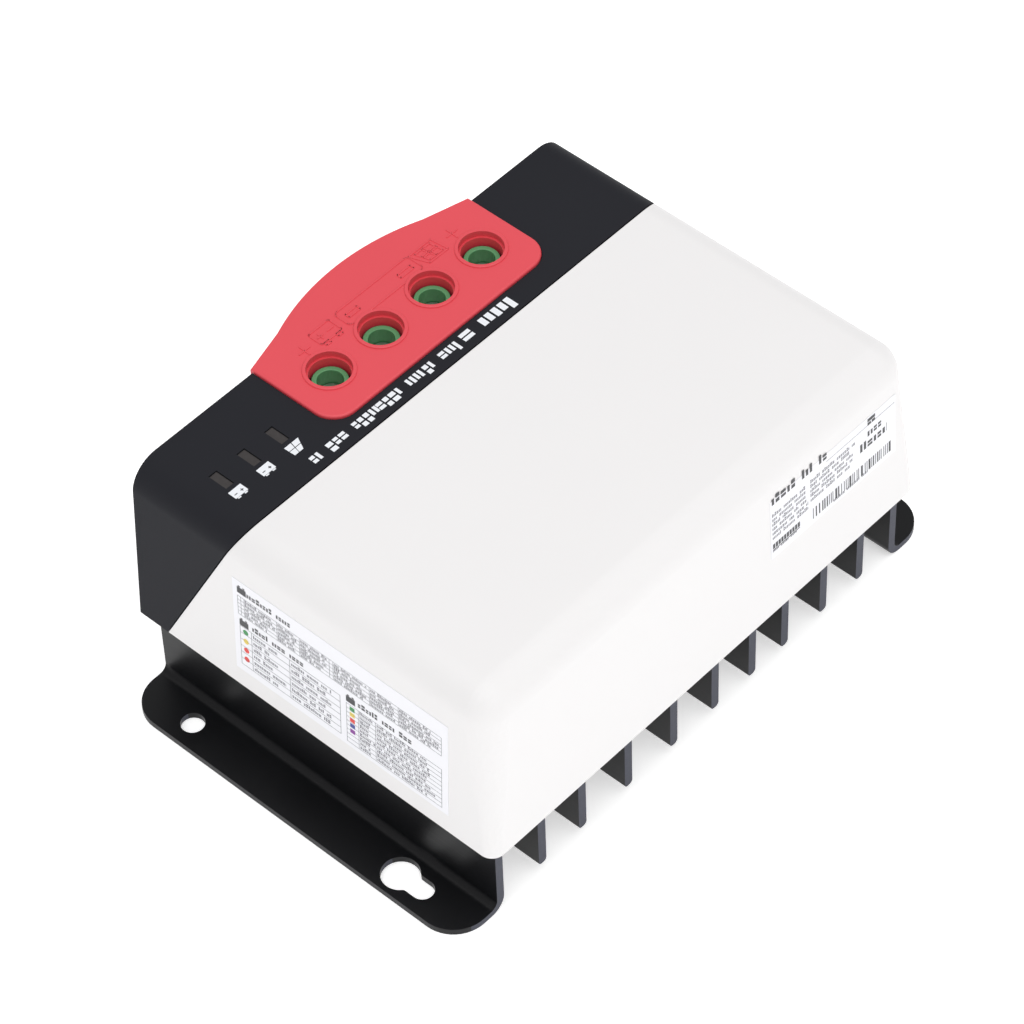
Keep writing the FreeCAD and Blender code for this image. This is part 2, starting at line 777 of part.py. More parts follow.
def casing():
    """The white main cover and the black terminal housing, parted by a slanted seam."""
    outer = case_block("case_outer", "0", CASE_TOP)
    inner = case_block("case_inner", "case_wall", f"({CASE_TOP} - case_wall)")
    shell = cut("case_shell", outer, inner)
    walls = fuse("case_walls", shell, case_ledge("case_ledge"))

    main = common("main_walls", walls, seam_side("plain_side", 1, "seam_gap"))
    main = fuse("main_with_bosses", main, *boss_posts("cover_boss", COVER_BOSSES))
    keep(cut("main_cover_piece", main, *boss_bores("cover_bore", COVER_BOSSES)), "main_cover")

    housing = common("housing_walls", walls, seam_side("terminal_side", -1, "0"))
    reach = f"{CASE_TOP} - case_wall/2 - {INDICATOR_TOP}"
    posts = [
        cylinder(f"indicator_post_{n}", "indicator_post_radius", (x, y, INDICATOR_TOP), reach)
        for n, (x, y) in enumerate(INDICATOR_POSTS)
    ]
    housing = fuse("housing_with_bosses", housing, *boss_posts("housing_boss", HOUSING_BOSSES), *posts)
    tools = terminal_tools() + boss_bores("housing_bore", HOUSING_BOSSES)
    keep(cut("terminal_housing_piece", housing, *tools), "terminal_housing")


def case_screws(name, spots):
    """Pan-head screws that come up through the plate into the casing's bosses."""
    screws = []
    for number, (x, y) in enumerate(spots):
        low = (x, y, f"{PLATE_UNDER} - case_screw_head_height")
        seat = (x, y, PLATE_UNDER)
        head = cylinder(f"{name}_head_{number}", "case_screw_head_radius", low, "case_screw_head_height")
        shank = cylinder(f"{name}_shank_{number}", "case_screw_radius", seat, "case_screw_length")
        key = ("case_screw_key_radius", low, "case_screw_key_depth")
        socket = hexagon(f"{name}_socket_{number}", *key)
        screws.append(cut(f"{name}_{number}", fuse(f"{name}_blank_{number}", head, shank), socket))
    keep(group(name + "_group", screws), name)


def terminal_cover():
    """The lift-off cover: a plate with four driver holes and a hood over the wire entries."""
    body = new_body("terminal_cover_body")
    outline = new_sketch(body, "cover_plate_outline", "XY_Plane", f"{COVER_LOW} - cover_skirt")
    cover_outline(outline, "0")
    pad(body, outline, "cover_thickness + cover_skirt")
    doc.recompute()
    round_cover_corners(body, "cover_plate_corners", "cover_corner")
    plate_top = value(COVER_TOP)
    round_edges(body, "cover_rim", "cover_edge_round", lambda edge: edge.CenterOfMass.z > plate_top - TINY)
    hollow = new_sketch(body, "cover_hollow", "XY_Plane", f"{COVER_LOW} - cover_skirt")
    half = "(cover_width/2)"
    inner = "(-overall_length/2 + cover_thickness)"
    shoulder_y = f"({inner} + cover_shoulder_depth)"
    wall_y = f"{CASE_FRONT} - cover_fit"
    draw_outline(
        hollow,
        [
            (f"cover_centre_x + 2*{half}", "0"),
            (f"cover_centre_x - 2*{half}", "0"),
            (f"cover_centre_x - 2*{half}", wall_y),
            (f"cover_centre_x - {half} + cover_cheek", wall_y),
            ("cover_centre_x - cover_shoulder", shoulder_y),
            ("cover_centre_x + cover_shoulder", shoulder_y),
            (f"cover_centre_x + {half} - cover_cheek", wall_y),
            (f"cover_centre_x + 2*{half}", wall_y),
        ],
        {4: (BULGE_RADIUS, ("cover_centre_x", inner))},
    )
    pocket(body, hollow, "2*cover_skirt")
    tubes = new_sketch(body, "driver_tubes", "XY_Plane", f"{COVER_TOP} - driver_tube_depth")
    draw_circles(tubes, [(x, "terminal_screw_y", "driver_tube_radius") for x in TERMINAL_X])
    pad(body, tubes, "driver_tube_depth - cover_thickness/2")
    rims = new_sketch(body, "driver_rims", "XY_Plane", COVER_TOP)
    draw_circles(rims, [(x, "terminal_screw_y", "driver_rim_radius") for x in TERMINAL_X])
    pad(body, rims, "driver_rim_height")
    top = value("overall_depth")
    round_edges(body, "driver_rim_edges", "driver_rim_round", lambda edge: edge.CenterOfMass.z > top - TINY)
    holes = new_sketch(body, "driver_holes", "XY_Plane", "overall_depth")
    draw_circles(holes, [(x, "terminal_screw_y", "driver_hole_radius") for x in TERMINAL_X])
    pocket(body, holes, "4*driver_tube_depth")
    mouths = new_sketch(body, "driver_mouths", "XY_Plane", "overall_depth")
    draw_circles(mouths, [(x, "terminal_screw_y", "driver_mouth_radius") for x in TERMINAL_X])
    pocket(body, mouths, "2*driver_mouth_depth")
    keep(body, "terminal_cover")


# --------------------------------------------------------------------------- terminals
def terminal(name, x):
    """One rising-clamp screw terminal: green block, steel clamp, screw."""
    y = "terminal_screw_y"
    blank = box(
        f"{name}_blank",
        (f"{x} - {BLOCK_WIDTH}/2", f"{x} + {BLOCK_WIDTH}/2"),
        (BLOCK_FRONT_Y, BLOCK_BACK_Y),
        (BOARD_TOP, BLOCK_TOP),
    )
    collar = cylinder(f"{name}_collar", "collar_radius", (x, y, BLOCK_TOP), "collar_height")
    chamber = centred_box(
        f"{name}_chamber",
        (x, y),
        ("clamp_width + 2*clamp_clearance", "clamp_depth + 2*clamp_clearance"),
        (f"{CLAMP_LOW} - clamp_clearance", f"{BLOCK_TOP} - block_top_wall"),
    )
    window_half = "(clamp_width/2 - clamp_wall)"
    entry = box(
        f"{name}_mouth",
        (f"{x} - {window_half}", f"{x} + {window_half}"),
        (f"{BLOCK_FRONT_Y} - 1", y),
        (f"{CLAMP_LOW} + clamp_wall", CONTACT_LOW),
    )
    bore = cylinder(f"{name}_bore", "collar_bore", (x, y, BLOCK_TOP), "collar_height + 1")
    thread = "clamp_screw_radius + clamp_screw_fit"
    neck_low = f"{BLOCK_TOP} - 1.5*block_top_wall"
    neck = cylinder(f"{name}_neck", thread, (x, y, neck_low), "2*block_top_wall")
    slot = contact(f"{name}_slot", x)
    body = fuse(f"{name}_body", blank, collar)
    keep(cut(f"{name}_block_piece", body, chamber, entry, bore, neck, slot), f"{name}_block")

    frame = centred_box(f"{name}_frame", (x, y), ("clamp_width", "clamp_depth"), (CLAMP_LOW, CLAMP_TOP))
    window = centred_box(
        f"{name}_frame_window",
        (x, y),
        ("clamp_width - 2*clamp_wall", "clamp_depth + 2"),
        (f"{CLAMP_LOW} + clamp_wall", f"{CLAMP_TOP} - clamp_top_wall"),
    )
    nut_low = f"{CLAMP_TOP} - 1.5*clamp_top_wall"
    nut = cylinder(f"{name}_nut", thread, (x, y, nut_low), "2*clamp_top_wall")
    keep(cut(f"{name}_clamp_piece", frame, window, nut), f"{name}_clamp")

    seat = f"({BLOCK_TOP} + clamp_screw_fit)"
    foot = f"({CONTACT_TOP} + contact_gap/2)"
    shank = cylinder(f"{name}_shank", "clamp_screw_radius", (x, y, foot), f"{seat} - {foot}")
    head = cylinder(f"{name}_head", "clamp_screw_head_radius", (x, y, seat), "clamp_screw_head_height")
    head_top = f"({seat} + clamp_screw_head_height)"
    groove_size = ("3*clamp_screw_head_radius", "clamp_screw_groove_width")
    groove_z = (f"{head_top} - clamp_screw_groove_depth", f"{head_top} + clamp_screw_groove_depth")
    groove = centred_box(f"{name}_groove", (x, y), groove_size, groove_z)
    keep(cut(f"{name}_screw_piece", fuse(f"{name}_screw_blank", head, shank), groove), f"{name}_screw")


def contact(name, x):
    """An angled copper bar: across the clamp's window, then down through the board."""
    half = "contact_width/2"
    turn_y = f"({BLOCK_BACK_Y} - contact_back_gap)"
    across = box(
        f"{name}_across",
        (f"{x} - {half}", f"{x} + {half}"),
        ("terminal_screw_y - clamp_depth/2 - contact_reach", turn_y),
        (CONTACT_LOW, CONTACT_TOP),
    )
    down = box(
        f"{name}_down",
        (f"{x} - {half}", f"{x} + {half}"),
        (f"{turn_y} - contact_thickness", turn_y),
        (f"{BOARD_LOW} - contact_tail", CONTACT_TOP),
    )
    return fuse(name, across, down)


# --------------------------------------------------------------------------- main board and what stands on it
def main_board():
    """The board, with the six standoffs it rests on and the screws that hold it."""
    across = ("-board_width/2", "board_width/2")
    board = box("board_blank", across, (BOARD_FRONT, BOARD_BACK), (BOARD_LOW, BOARD_TOP))
    hole_low = f"{BOARD_LOW} - board_thickness"
    hole_radius = "board_screw_radius + screw_clearance"
    holes = [
        cylinder(f"board_hole_{n}", hole_radius, (x, y, hole_low), "3*board_thickness")
        for n, (x, y) in enumerate(STANDOFFS)
    ]
    holes += [contact(f"board_slot_{n}", x) for n, x in enumerate(TERMINAL_X)]
    keep(cut("board_piece", board, *holes), "main_board")

    standoffs = []
    screws = []
    tip = f"{BOARD_LOW} - board_screw_depth"
    bore_radius = "board_screw_radius + screw_clearance/2"
    for n, (x, y) in enumerate(STANDOFFS):
        post = hexagon(f"standoff_post_{n}", "standoff_radius", (x, y, "sink_height"), "board_lift")
        stud_length = f"sink_height + board_lift/2 - {THREAD_LOW}"
        stud = cylinder(f"standoff_stud_{n}", "board_screw_radius", (x, y, THREAD_LOW), stud_length)
        bore_low = (x, y, f"{tip} - screw_clearance")
        bore = cylinder(f"standoff_bore_{n}", bore_radius, bore_low, "board_lift")
        standoffs.append(cut(f"standoff_{n}", fuse(f"standoff_blank_{n}", post, stud), bore))
        top = (x, y, BOARD_TOP)
        head = cylinder(f"board_screw_head_{n}", "board_screw_head_radius", top, "board_screw_head_height")
        length = "board_screw_depth + board_thickness"
        shank = cylinder(f"board_screw_shank_{n}", "board_screw_radius", (x, y, tip), length)
        screws.append(fuse(f"board_screw_{n}", head, shank))
    keep(group("standoff_group", standoffs), "board_standoffs")
    keep(group("board_screw_group", screws), "board_screws")


def inductor(name, y):
    """A ring core with its winding, lying on the board."""
    reach = "(core_height/2 + winding_clearance + winding_wire)"
    centre = f"({BOARD_TOP} + {reach})"
    ring_low = ("inductor_x", y, f"{centre} - core_height/2")
    hole_low = ("inductor_x", y, f"{centre} - core_height")
    ring = cylinder(f"{name}_ring", "core_radius", ring_low, "core_height")
    hole = cylinder(f"{name}_hole", "core_bore", hole_low, "2*core_height")
    keep(cut(f"{name}_core_piece", ring, hole), f"{name}_core")
    body = new_body(f"{name}_winding_body")
    turn = new_sketch(body, f"{name}_turn", "XZ_Plane")
    for grow in ("winding_clearance + winding_wire", "winding_clearance"):
        low, high = f"core_bore - ({grow})", f"core_radius + {grow}"
        top = f"core_height/2 + {grow}"
        draw_outline(turn, [(low, f"-({top})"), (high, f"-({top})"), (high, top), (low, top)])
    first = pad(body, turn, "winding_wire", both_ways=True)
    turns = body.newObject("PartDesign::PolarPattern", f"{name}_turns")
    turns.Originals = [first]
    axis = next(a for a in body.Origin.OriginFeatures if a.Role == "Z_Axis")
    turns.Axis = (axis, [""])
    turns.Angle = 360
    turns.Occurrences = WINDING_TURNS
    body.Tip = turns
    place(body, ("inductor_x", y, centre))
    keep(body, f"{name}_winding")


def board_parts():
    """Loose components of the power and control circuits."""
    inductor("front_inductor", "inductor_near_y")
    inductor("rear_inductor", "(inductor_near_y + inductor_pitch)")

    def can_rim(edge):
        return (round_size, round_size) if not along(edge, Vector(0, 0, 1)) else None

    round_size = value("capacitor_edge_round")
    cans = []
    for column in range(2):
        for line in range(3):
            x = f"(capacitor_x + {column}*capacitor_pitch)"
            y = f"({BOARD_BACK} - capacitor_radius - capacitor_back_gap - {line}*capacitor_pitch)"
            can = cylinder(f"can_{column}_{line}", "capacitor_radius", (x, y, BOARD_TOP), "capacitor_height")
            cans.append(rounded(f"capacitor_{column}_{line}", can, can_rim))
    keep(group("capacitor_group", cans), "electrolytic_capacitors")

    films = []
    for n in range(3):
        centre = ("film_x", f"({BOARD_BACK} - film_depth/2 - film_back_gap - {n}*film_pitch)")
        height = (BOARD_TOP, f"{BOARD_TOP} + film_height")
        films.append(centred_box(f"film_{n}", centre, ("film_width", "film_depth"), height))
    keep(group("film_group", films), "film_capacitors")

    shunts = []
    for n, side in enumerate("-+"):
        centre = (f"(shunt_x {side} shunt_pitch/2)", f"({BLOCK_BACK_Y} + shunt_gap)")
        height = (BOARD_TOP, f"{BOARD_TOP} + shunt_height")
        outer = centred_box(f"shunt_outer_{n}", centre, ("shunt_length", "shunt_width"), height)
        gap = (f"{BOARD_TOP} - shunt_wall", f"{BOARD_TOP} + shunt_height - shunt_wall")
        arch = centred_box(f"shunt_arch_{n}", centre, ("shunt_length - 2*shunt_wall", "2*shunt_width"), gap)
        shunts.append(cut(f"shunt_{n}", outer, arch))
    keep(group("shunt_group", shunts), "current_shunts")

    chip_z = (BOARD_TOP, f"{BOARD_TOP} + chip_height")
    size = ("controller_size", "controller_size")
    chip = centred_box("controller_chip_body", ("controller_x", "controller_y"), size, chip_z)
    keep(chip, "controller_chip")
    drivers = []
    for n in range(3):
        centre = (f"(driver_x + {n - 1}*driver_pitch)", "driver_y")
        drivers.append(centred_box(f"driver_{n}", centre, ("driver_width", "driver_length"), chip_z))
    keep(group("driver_group", drivers), "driver_chips")


PACKAGE_LOW = "(sink_height + pad_thickness)"
PACKAGE_TOP = f"({PACKAGE_LOW} + transistor_thickness)"
BAR_TOP = f"({PACKAGE_TOP} + clamp_bar_thickness)"


def transistor(name, x, y, inward):
    """A flat package with three legs that turn up into the board. inward is the legs' side."""
    size = ("transistor_length", "transistor_width")
    package = centred_box(f"{name}_package", (x, y), size, (PACKAGE_LOW, PACKAGE_TOP))
    leg_z = f"({PACKAGE_LOW} + leg_lift)"
    length = "(transistor_length/2 + leg_reach)"
    legs = []
    for n in range(3):
        leg_y = f"({y} + {n - 1}*leg_pitch)"
        lane = (f"{leg_y} - leg_width/2", f"{leg_y} + leg_width/2")
        bend_x = f"({x} {inward} {length})"
        span = (bend_x, x) if inward == "-" else (x, bend_x)
        legs.append(box(f"{name}_leg_{n}", span, lane, (leg_z, f"{leg_z} + leg_thickness")))
        rise = (leg_z, BOARD_LOW)
        legs.append(centred_box(f"{name}_riser_{n}", (bend_x, leg_y), ("leg_width", "leg_width"), rise))
    return fuse(name, package, *legs)


def power_stage():
    """Transistors pressed onto the plate by two bars, under the board."""
    pads = []
    packages = []
    bars = []
    screws = []
    pad_size = ("transistor_length + 2*pad_margin", "transistor_width + 2*pad_margin")
    for side, x in enumerate(TRANSISTOR_X):
        inward = "-+"[side]
        for n, y in enumerate(TRANSISTOR_Y):
            pads.append(centred_box(f"pad_{side}_{n}", (x, y), pad_size, ("sink_height", PACKAGE_LOW)))
            packages.append(transistor(f"transistor_{side}_{n}", x, y, inward))
        bar = box(
            f"bar_blank_{side}",
            (f"{x} - clamp_bar_width/2", f"{x} + clamp_bar_width/2"),
            (f"{BAR_SCREW_Y[0]} - clamp_bar_end", f"{BAR_SCREW_Y[1]} + clamp_bar_end"),
            (PACKAGE_TOP, BAR_TOP),
        )
        holes = []
        for n, y in enumerate(BAR_SCREW_Y):
            hole_low = (x, y, f"{PACKAGE_TOP} - clamp_bar_thickness")
            hole_radius = "board_screw_radius + screw_clearance"
            holes.append(cylinder(f"bar_hole_{side}_{n}", hole_radius, hole_low, "3*clamp_bar_thickness"))
            top = (x, y, BAR_TOP)
            head_name = f"bar_screw_head_{side}_{n}"
            head = cylinder(head_name, "board_screw_head_radius", top, "board_screw_head_height")
            length = f"{BAR_TOP} - {THREAD_LOW}"
            shank_name = f"bar_screw_shank_{side}_{n}"
            shank = cylinder(shank_name, "board_screw_radius", (x, y, THREAD_LOW), length)
            screws.append(fuse(f"bar_screw_{side}_{n}", head, shank))
        bars.append(cut(f"bar_{side}", bar, *holes))
    keep(group("pad_group", pads), "thermal_pads")
    keep(group("transistor_group", packages), "power_transistors")
    keep(group("bar_group", bars), "transistor_clamp_bars")
    keep(group("bar_screw_group", screws), "clamp_bar_screws")


# --------------------------------------------------------------------------- sockets
def socket(name):
    """An open-fronted connector on the board, just inside the terminal end wall."""
    x = f"{name}_x"
    width = f"{name}_width"
    depth = f"{name}_depth"
    wall = f"{name}_wall"
    top = f"({BOARD_TOP} + {name}_height)"
    front = f"({CASE_FRONT} + case_wall + socket_gap)"
    blank = centred_box(f"{name}_blank", (x, f"({front} + {depth}/2)"), (width, depth), (BOARD_TOP, top))
    hollow = box(
        f"{name}_hollow",
        (f"{x} - {width}/2 + {wall}", f"{x} + {width}/2 - {wall}"),
        (f"{front} - {wall}", f"{front} + {depth} - socket_floor"),
        (f"{BOARD_TOP} + {wall}", f"{top} - {wall}"),
    )
    keep(cut(f"{name}_piece", blank, hollow), f"{name}_socket")
    return f"({front} + {depth} - socket_floor - socket_pin_length/2)"


def sockets():
    """A flat eight-way socket and a two-pin socket, with their contacts."""
    wire_y = socket("comms")
    wire_top = f"({BOARD_TOP} + comms_height - comms_wall)"
    wire_z = (f"{wire_top} - comms_contact_thickness", wire_top)
    wires = []
    for n in range(8):
        centre = (f"(comms_x + {n - 3.5}*comms_contact_pitch)", wire_y)
        size = ("comms_contact_width", "socket_pin_length")
        wires.append(centred_box(f"comms_contact_{n}", centre, size, wire_z))
    keep(group("comms_contact_group", wires), "comms_contacts")

    pin_y = socket("sensor")
    middle = f"({BOARD_TOP} + sensor_height/2)"
    pin_z = (f"{middle} - sensor_pin_size/2", f"{middle} + sensor_pin_size/2")
    pins = []
    for n, side in enumerate("-+"):
        centre = (f"(sensor_x {side} sensor_pin_offset)", pin_y)
        pins.append(centred_box(f"sensor_pin_{n}", centre, ("sensor_pin_size", "socket_pin_length"), pin_z))
    keep(group("sensor_pin_group", pins), "sensor_pins")


# --------------------------------------------------------------------------- indicators
def indicators():
    """Three light windows with their lamps on a small board that hangs under the housing's top."""
    under_wall = f"({CASE_TOP} - case_wall)"
    stem_size = ("window_width - 2*window_fit", "window_length - 2*window_fit")
    stem_z = (f"{CASE_TOP} - lens_length", f"{CASE_TOP} - window_recess")
    flange_size = ("window_width + 2*lens_flange_reach", "window_length + 2*lens_flange_reach")
    flange_z = (f"{under_wall} - lens_flange", under_wall)
    lamp_size = ("lamp_width", "lamp_length")
    lamps = []
    for name, x in zip(INDICATORS, WINDOW_X):
        centre = (x, "window_y")
        stem = centred_box(f"{name}_stem", centre, stem_size, stem_z)
        flange = centred_box(f"{name}_flange", centre, flange_size, flange_z)
        keep(fuse(f"{name}_lens_piece", stem, flange), f"{name}_indicator_lens")
        lamps.append(centred_box(f"{name}_lamp", centre, lamp_size, (INDICATOR_TOP, LAMP_TOP)))
    keep(group("lamp_group", lamps), "indicator_lamps")
    board_size = ("indicator_board_width", "indicator_board_length")
    board_z = (INDICATOR_LOW, INDICATOR_TOP)
    board = centred_box("indicator_board_body", ("window_x", "window_y"), board_size, board_z)
    keep(board, "indicator_board")

    centre = ("window_x", "(window_y + header_offset)")
    header_size = ("ribbon_width + 2*header_margin", "header_depth")
    low_end = f"{BOARD_TOP} + header_height"
    high_end = f"{INDICATOR_LOW} - header_height"
    headers = [
        centred_box("lower_header", centre, header_size, (BOARD_TOP, low_end)),
        centred_box("upper_header", centre, header_size, (high_end, INDICATOR_LOW)),
    ]
    keep(group("header_group", headers), "ribbon_headers")
    ribbon = centred_box("ribbon_body", centre, ("ribbon_width", "ribbon_thickness"), (low_end, high_end))
    keep(ribbon, "indicator_ribbon")


# --------------------------------------------------------------------------- stickers
def sticker(name, label, size, at, axis, turn):
    feature = doc.addObject("Part::Box", name)
    for prop, text in zip(("Length", "Width", "Height"), size):
        bind(feature, prop, text)
    feature.Placement = FreeCAD.Placement(Vector(), Rotation(axis, 1.0))
    bind(feature, "Placement.Rotation.Angle", turn)
    place(feature, at)
    keep(feature, label)


def stickers():
    """Thin labels that lie on the sloping side and end of the main cover."""
    turn = f"atan(case_draft/{CASE_RISE})"
    side_x = f"{CASE_HALF} - (side_label_z - sink_height)*{CASE_SLOPE}"
    sticker(
        "side_sticker",
        "side_label",
        ("label_thickness", "side_label_length", "side_label_height"),
        (side_x, "side_label_y", "side_label_z"),
        Vector(0, -1, 0),
        turn,
    )
    end_y = f"{CASE_BACK} - (rating_label_z - sink_height)*{CASE_SLOPE}"
    sticker(
        "end_sticker",
        "rating_label",
        ("rating_label_length", "label_thickness", "rating_label_height"),
        ("rating_label_x", end_y, "rating_label_z"),
        Vector(1, 0, 0),
        turn,
    )


# --------------------------------------------------------------------------- build
heat_sink()
casing()
case_screws("cover_screws", COVER_BOSSES)
case_screws("housing_screws", HOUSING_BOSSES)
terminal_cover()
for terminal_name, terminal_x in zip(TERMINALS, TERMINAL_X):
    terminal(terminal_name, terminal_x)
contacts = [contact(f"contact_{n}", x) for n, x in enumerate(TERMINAL_X)]
keep(group("contact_group", contacts), "terminal_contacts")
main_board()
board_parts()
power_stage()
sockets()
indicators()
stickers()
doc.recompute()

for item in doc.Objects:
    if "Invalid" in item.State or "Error" in item.State:
        raise RuntimeError(f"{item.Name} failed: {item.State}")
for piece in nodes:
    if piece.Shape.isNull() or not piece.Shape.isValid():
        raise RuntimeError(f"{piece.Label} has no valid shape")

os.makedirs("parts", exist_ok=True)
for piece in nodes:
    piece.Shape.exportStep(f"parts/{piece.Label}.step")
print(len(nodes), "pieces written")
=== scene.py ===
# %% [markdown]
# # A wall-mounted solar charge controller
#
# The real object is a box of electronics on a finned aluminium back. A white shell and a black
# shell meet at a slanted seam, and a red cover lifts off over four screw terminals.
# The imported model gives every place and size, so this lesson is about surfaces: how edges catch
# the light, how moulded plastic differs from anodised metal, and how print sits on a surface.

# %% Load the fixed frame
import json
import random
from math import atan2, cos, pi, radians, sin

import bpy
from mathutils import Matrix, Vector

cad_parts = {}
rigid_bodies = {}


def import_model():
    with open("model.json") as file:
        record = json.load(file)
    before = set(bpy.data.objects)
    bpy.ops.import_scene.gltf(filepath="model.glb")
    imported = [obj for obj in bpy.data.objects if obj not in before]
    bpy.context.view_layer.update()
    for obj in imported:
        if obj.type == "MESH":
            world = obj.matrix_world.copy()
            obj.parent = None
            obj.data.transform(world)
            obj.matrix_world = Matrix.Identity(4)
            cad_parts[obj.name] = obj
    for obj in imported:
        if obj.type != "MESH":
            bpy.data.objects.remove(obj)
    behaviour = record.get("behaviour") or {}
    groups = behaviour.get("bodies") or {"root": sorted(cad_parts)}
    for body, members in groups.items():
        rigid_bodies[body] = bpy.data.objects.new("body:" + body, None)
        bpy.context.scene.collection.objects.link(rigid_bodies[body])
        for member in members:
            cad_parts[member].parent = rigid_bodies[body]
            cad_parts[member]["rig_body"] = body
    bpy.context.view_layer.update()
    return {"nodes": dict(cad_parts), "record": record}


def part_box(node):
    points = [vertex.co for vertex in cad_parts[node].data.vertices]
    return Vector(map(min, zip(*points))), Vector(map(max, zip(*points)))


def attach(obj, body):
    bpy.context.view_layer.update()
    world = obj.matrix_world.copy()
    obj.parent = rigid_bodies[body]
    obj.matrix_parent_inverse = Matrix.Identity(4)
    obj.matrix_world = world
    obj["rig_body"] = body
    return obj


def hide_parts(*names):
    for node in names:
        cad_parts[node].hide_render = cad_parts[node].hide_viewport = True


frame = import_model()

MM = 0.001

# %% [markdown]
# ## Where things are
#
# Nothing is placed by eye. Each height or edge that the new pieces need is read from the box of
# the piece that they touch, so a change in the model carries through to the looks.

# %% Read the places that several pieces share
CASE_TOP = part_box("main_cover")[1].z
COVER_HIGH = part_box("terminal_cover")[1]
SEAM_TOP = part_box("terminal_housing")[1].y
TERMINALS = ("battery_positive", "battery_negative", "pv_negative", "pv_positive")
INDICATORS = ("solar", "charge", "battery")


def middle(node):
    """The centre of a CAD piece's box."""
    low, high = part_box(node)
    return (low + high) / 2


print("casing top", round(CASE_TOP / MM, 1), "mm, seam at", round(SEAM_TOP / MM, 1), "mm")

# %% [markdown]
# ## Small modelling tools
#
# Every new piece starts from a primitive and is shaped with the same few operators. The helpers
# keep the selection clean, because an operator acts on all that is selected.


# %% Helpers that select, shape and finish a piece
SMOOTH_ANGLE = radians(50)
WEIGHT_OF_LARGE_FACES = 100


def take(*pieces):
    """Selects these pieces alone. The last one becomes active."""
    bpy.ops.object.select_all(action="DESELECT")
    for piece in pieces:
        piece.select_set(True)
        bpy.context.view_layer.objects.active = piece


def settle(piece):
    """Moves a piece's place, turn and size into its mesh."""
    take(piece)
    bpy.ops.object.transform_apply(location=True, rotation=True, scale=True)
    return piece


def modify(piece, kind, **settings):
    """Adds a modifier with these settings and applies it."""
    take(piece)
    modifier = piece.modifiers.new(kind.title(), kind)
    for name, setting in settings.items():
        setattr(modifier, name, setting)
    bpy.ops.object.modifier_apply(modifier=modifier.name)
    return piece


def soften(piece, width, segments=3, angle=35):
    """Rounds the sharp edges, then lets the large faces set the shading, so that they look flat."""
    modify(
        piece,
        "BEVEL",
        width=width,
        segments=segments,
        limit_method="ANGLE",
        angle_limit=radians(angle),
    )
    bpy.ops.object.shade_smooth_by_angle(angle=SMOOTH_ANGLE)
    modify(piece, "WEIGHTED_NORMAL", keep_sharp=True, weight=WEIGHT_OF_LARGE_FACES)
    return piece


def join(name, pieces):
    """Makes one piece of several. The first one's materials come first."""
    take(*pieces[1:], pieces[0])
    bpy.ops.object.join()
    piece = bpy.context.object
    piece.name = name
    return piece


def fit(piece, body, slot, finish, *stands_for):
    """Gives a piece its body and its finish, and hides the CAD pieces it stands for. Slot is not
    used.
    """
    piece.data.materials.clear()
    piece.data.materials.append(finish)
    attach(piece, body)
    if stands_for:
        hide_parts(*stands_for)
    return piece


# %% [markdown]
# ## From a CAD piece to a moulded one
#
# A CAD solid arrives as loose triangles with knife-sharp edges. Real mouldings never have those:
# the tool leaves a small radius that shows as a thin bright line. So a copy is merged, its flat
# areas become single faces again, and a bevel rounds what is left. That keeps every hole where
# the model put it, which rebuilding the shell by hand would not.


# %% Make a softened copy of a CAD piece
WELD_DISTANCE = 0.002 * MM
FLAT_ANGLE = radians(0.3)


def moulded_copy(node, name, width, segments=3, angle=35):
    """A copy of a CAD piece with its points merged, its flats whole and its edges rounded."""
    piece = bpy.data.objects.new(name, frame["nodes"][node].data.copy())
    bpy.context.scene.collection.objects.link(piece)
    take(piece)
    bpy.ops.object.mode_set(mode="EDIT")
    bpy.ops.mesh.select_all(action="SELECT")
    bpy.ops.mesh.customdata_custom_splitnormals_clear()
    bpy.ops.mesh.remove_doubles(threshold=WELD_DISTANCE)
    bpy.ops.mesh.dissolve_limited(angle_limit=FLAT_ANGLE)
    bpy.ops.object.mode_set(mode="OBJECT")
    return soften(piece, width, segments, angle)


def body_of(node):
    """The body that a node moves with."""
    return frame["nodes"][node]["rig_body"]


def slot_of(node):
    """The material slot that the record gives a node."""
    return next(p["material_slot"] for p in frame["record"]["subparts"] if p["node"] == node)


# %% [markdown]
# ## Shader arithmetic
#
# A procedural surface is a sum of patterns. Written as node calls, a sum is hard to read, so a
# small class wraps a socket and lets ordinary + - * / add the Math nodes.


# %% A socket that takes part in plain arithmetic
class Signal:
    def __init__(self, finish, link):
        self.finish = finish
        self.link = link

    def maths(self, operation, *values):
        return self.finish.node("ShaderNodeMath", {"operation": operation}, dict(enumerate(values)))

    def __add__(self, other):
        return self.maths("ADD", self, other)

    def __sub__(self, other):
        return self.maths("SUBTRACT", self, other)

    def __rsub__(self, other):
        return self.maths("SUBTRACT", other, self)

    def __mul__(self, other):
        return self.maths("MULTIPLY", self, other)

    def __gt__(self, other):
        return self.maths("GREATER_THAN", self, other)

    def __abs__(self):
        return self.maths("ABSOLUTE", self)

    __radd__ = __add__
    __rmul__ = __mul__


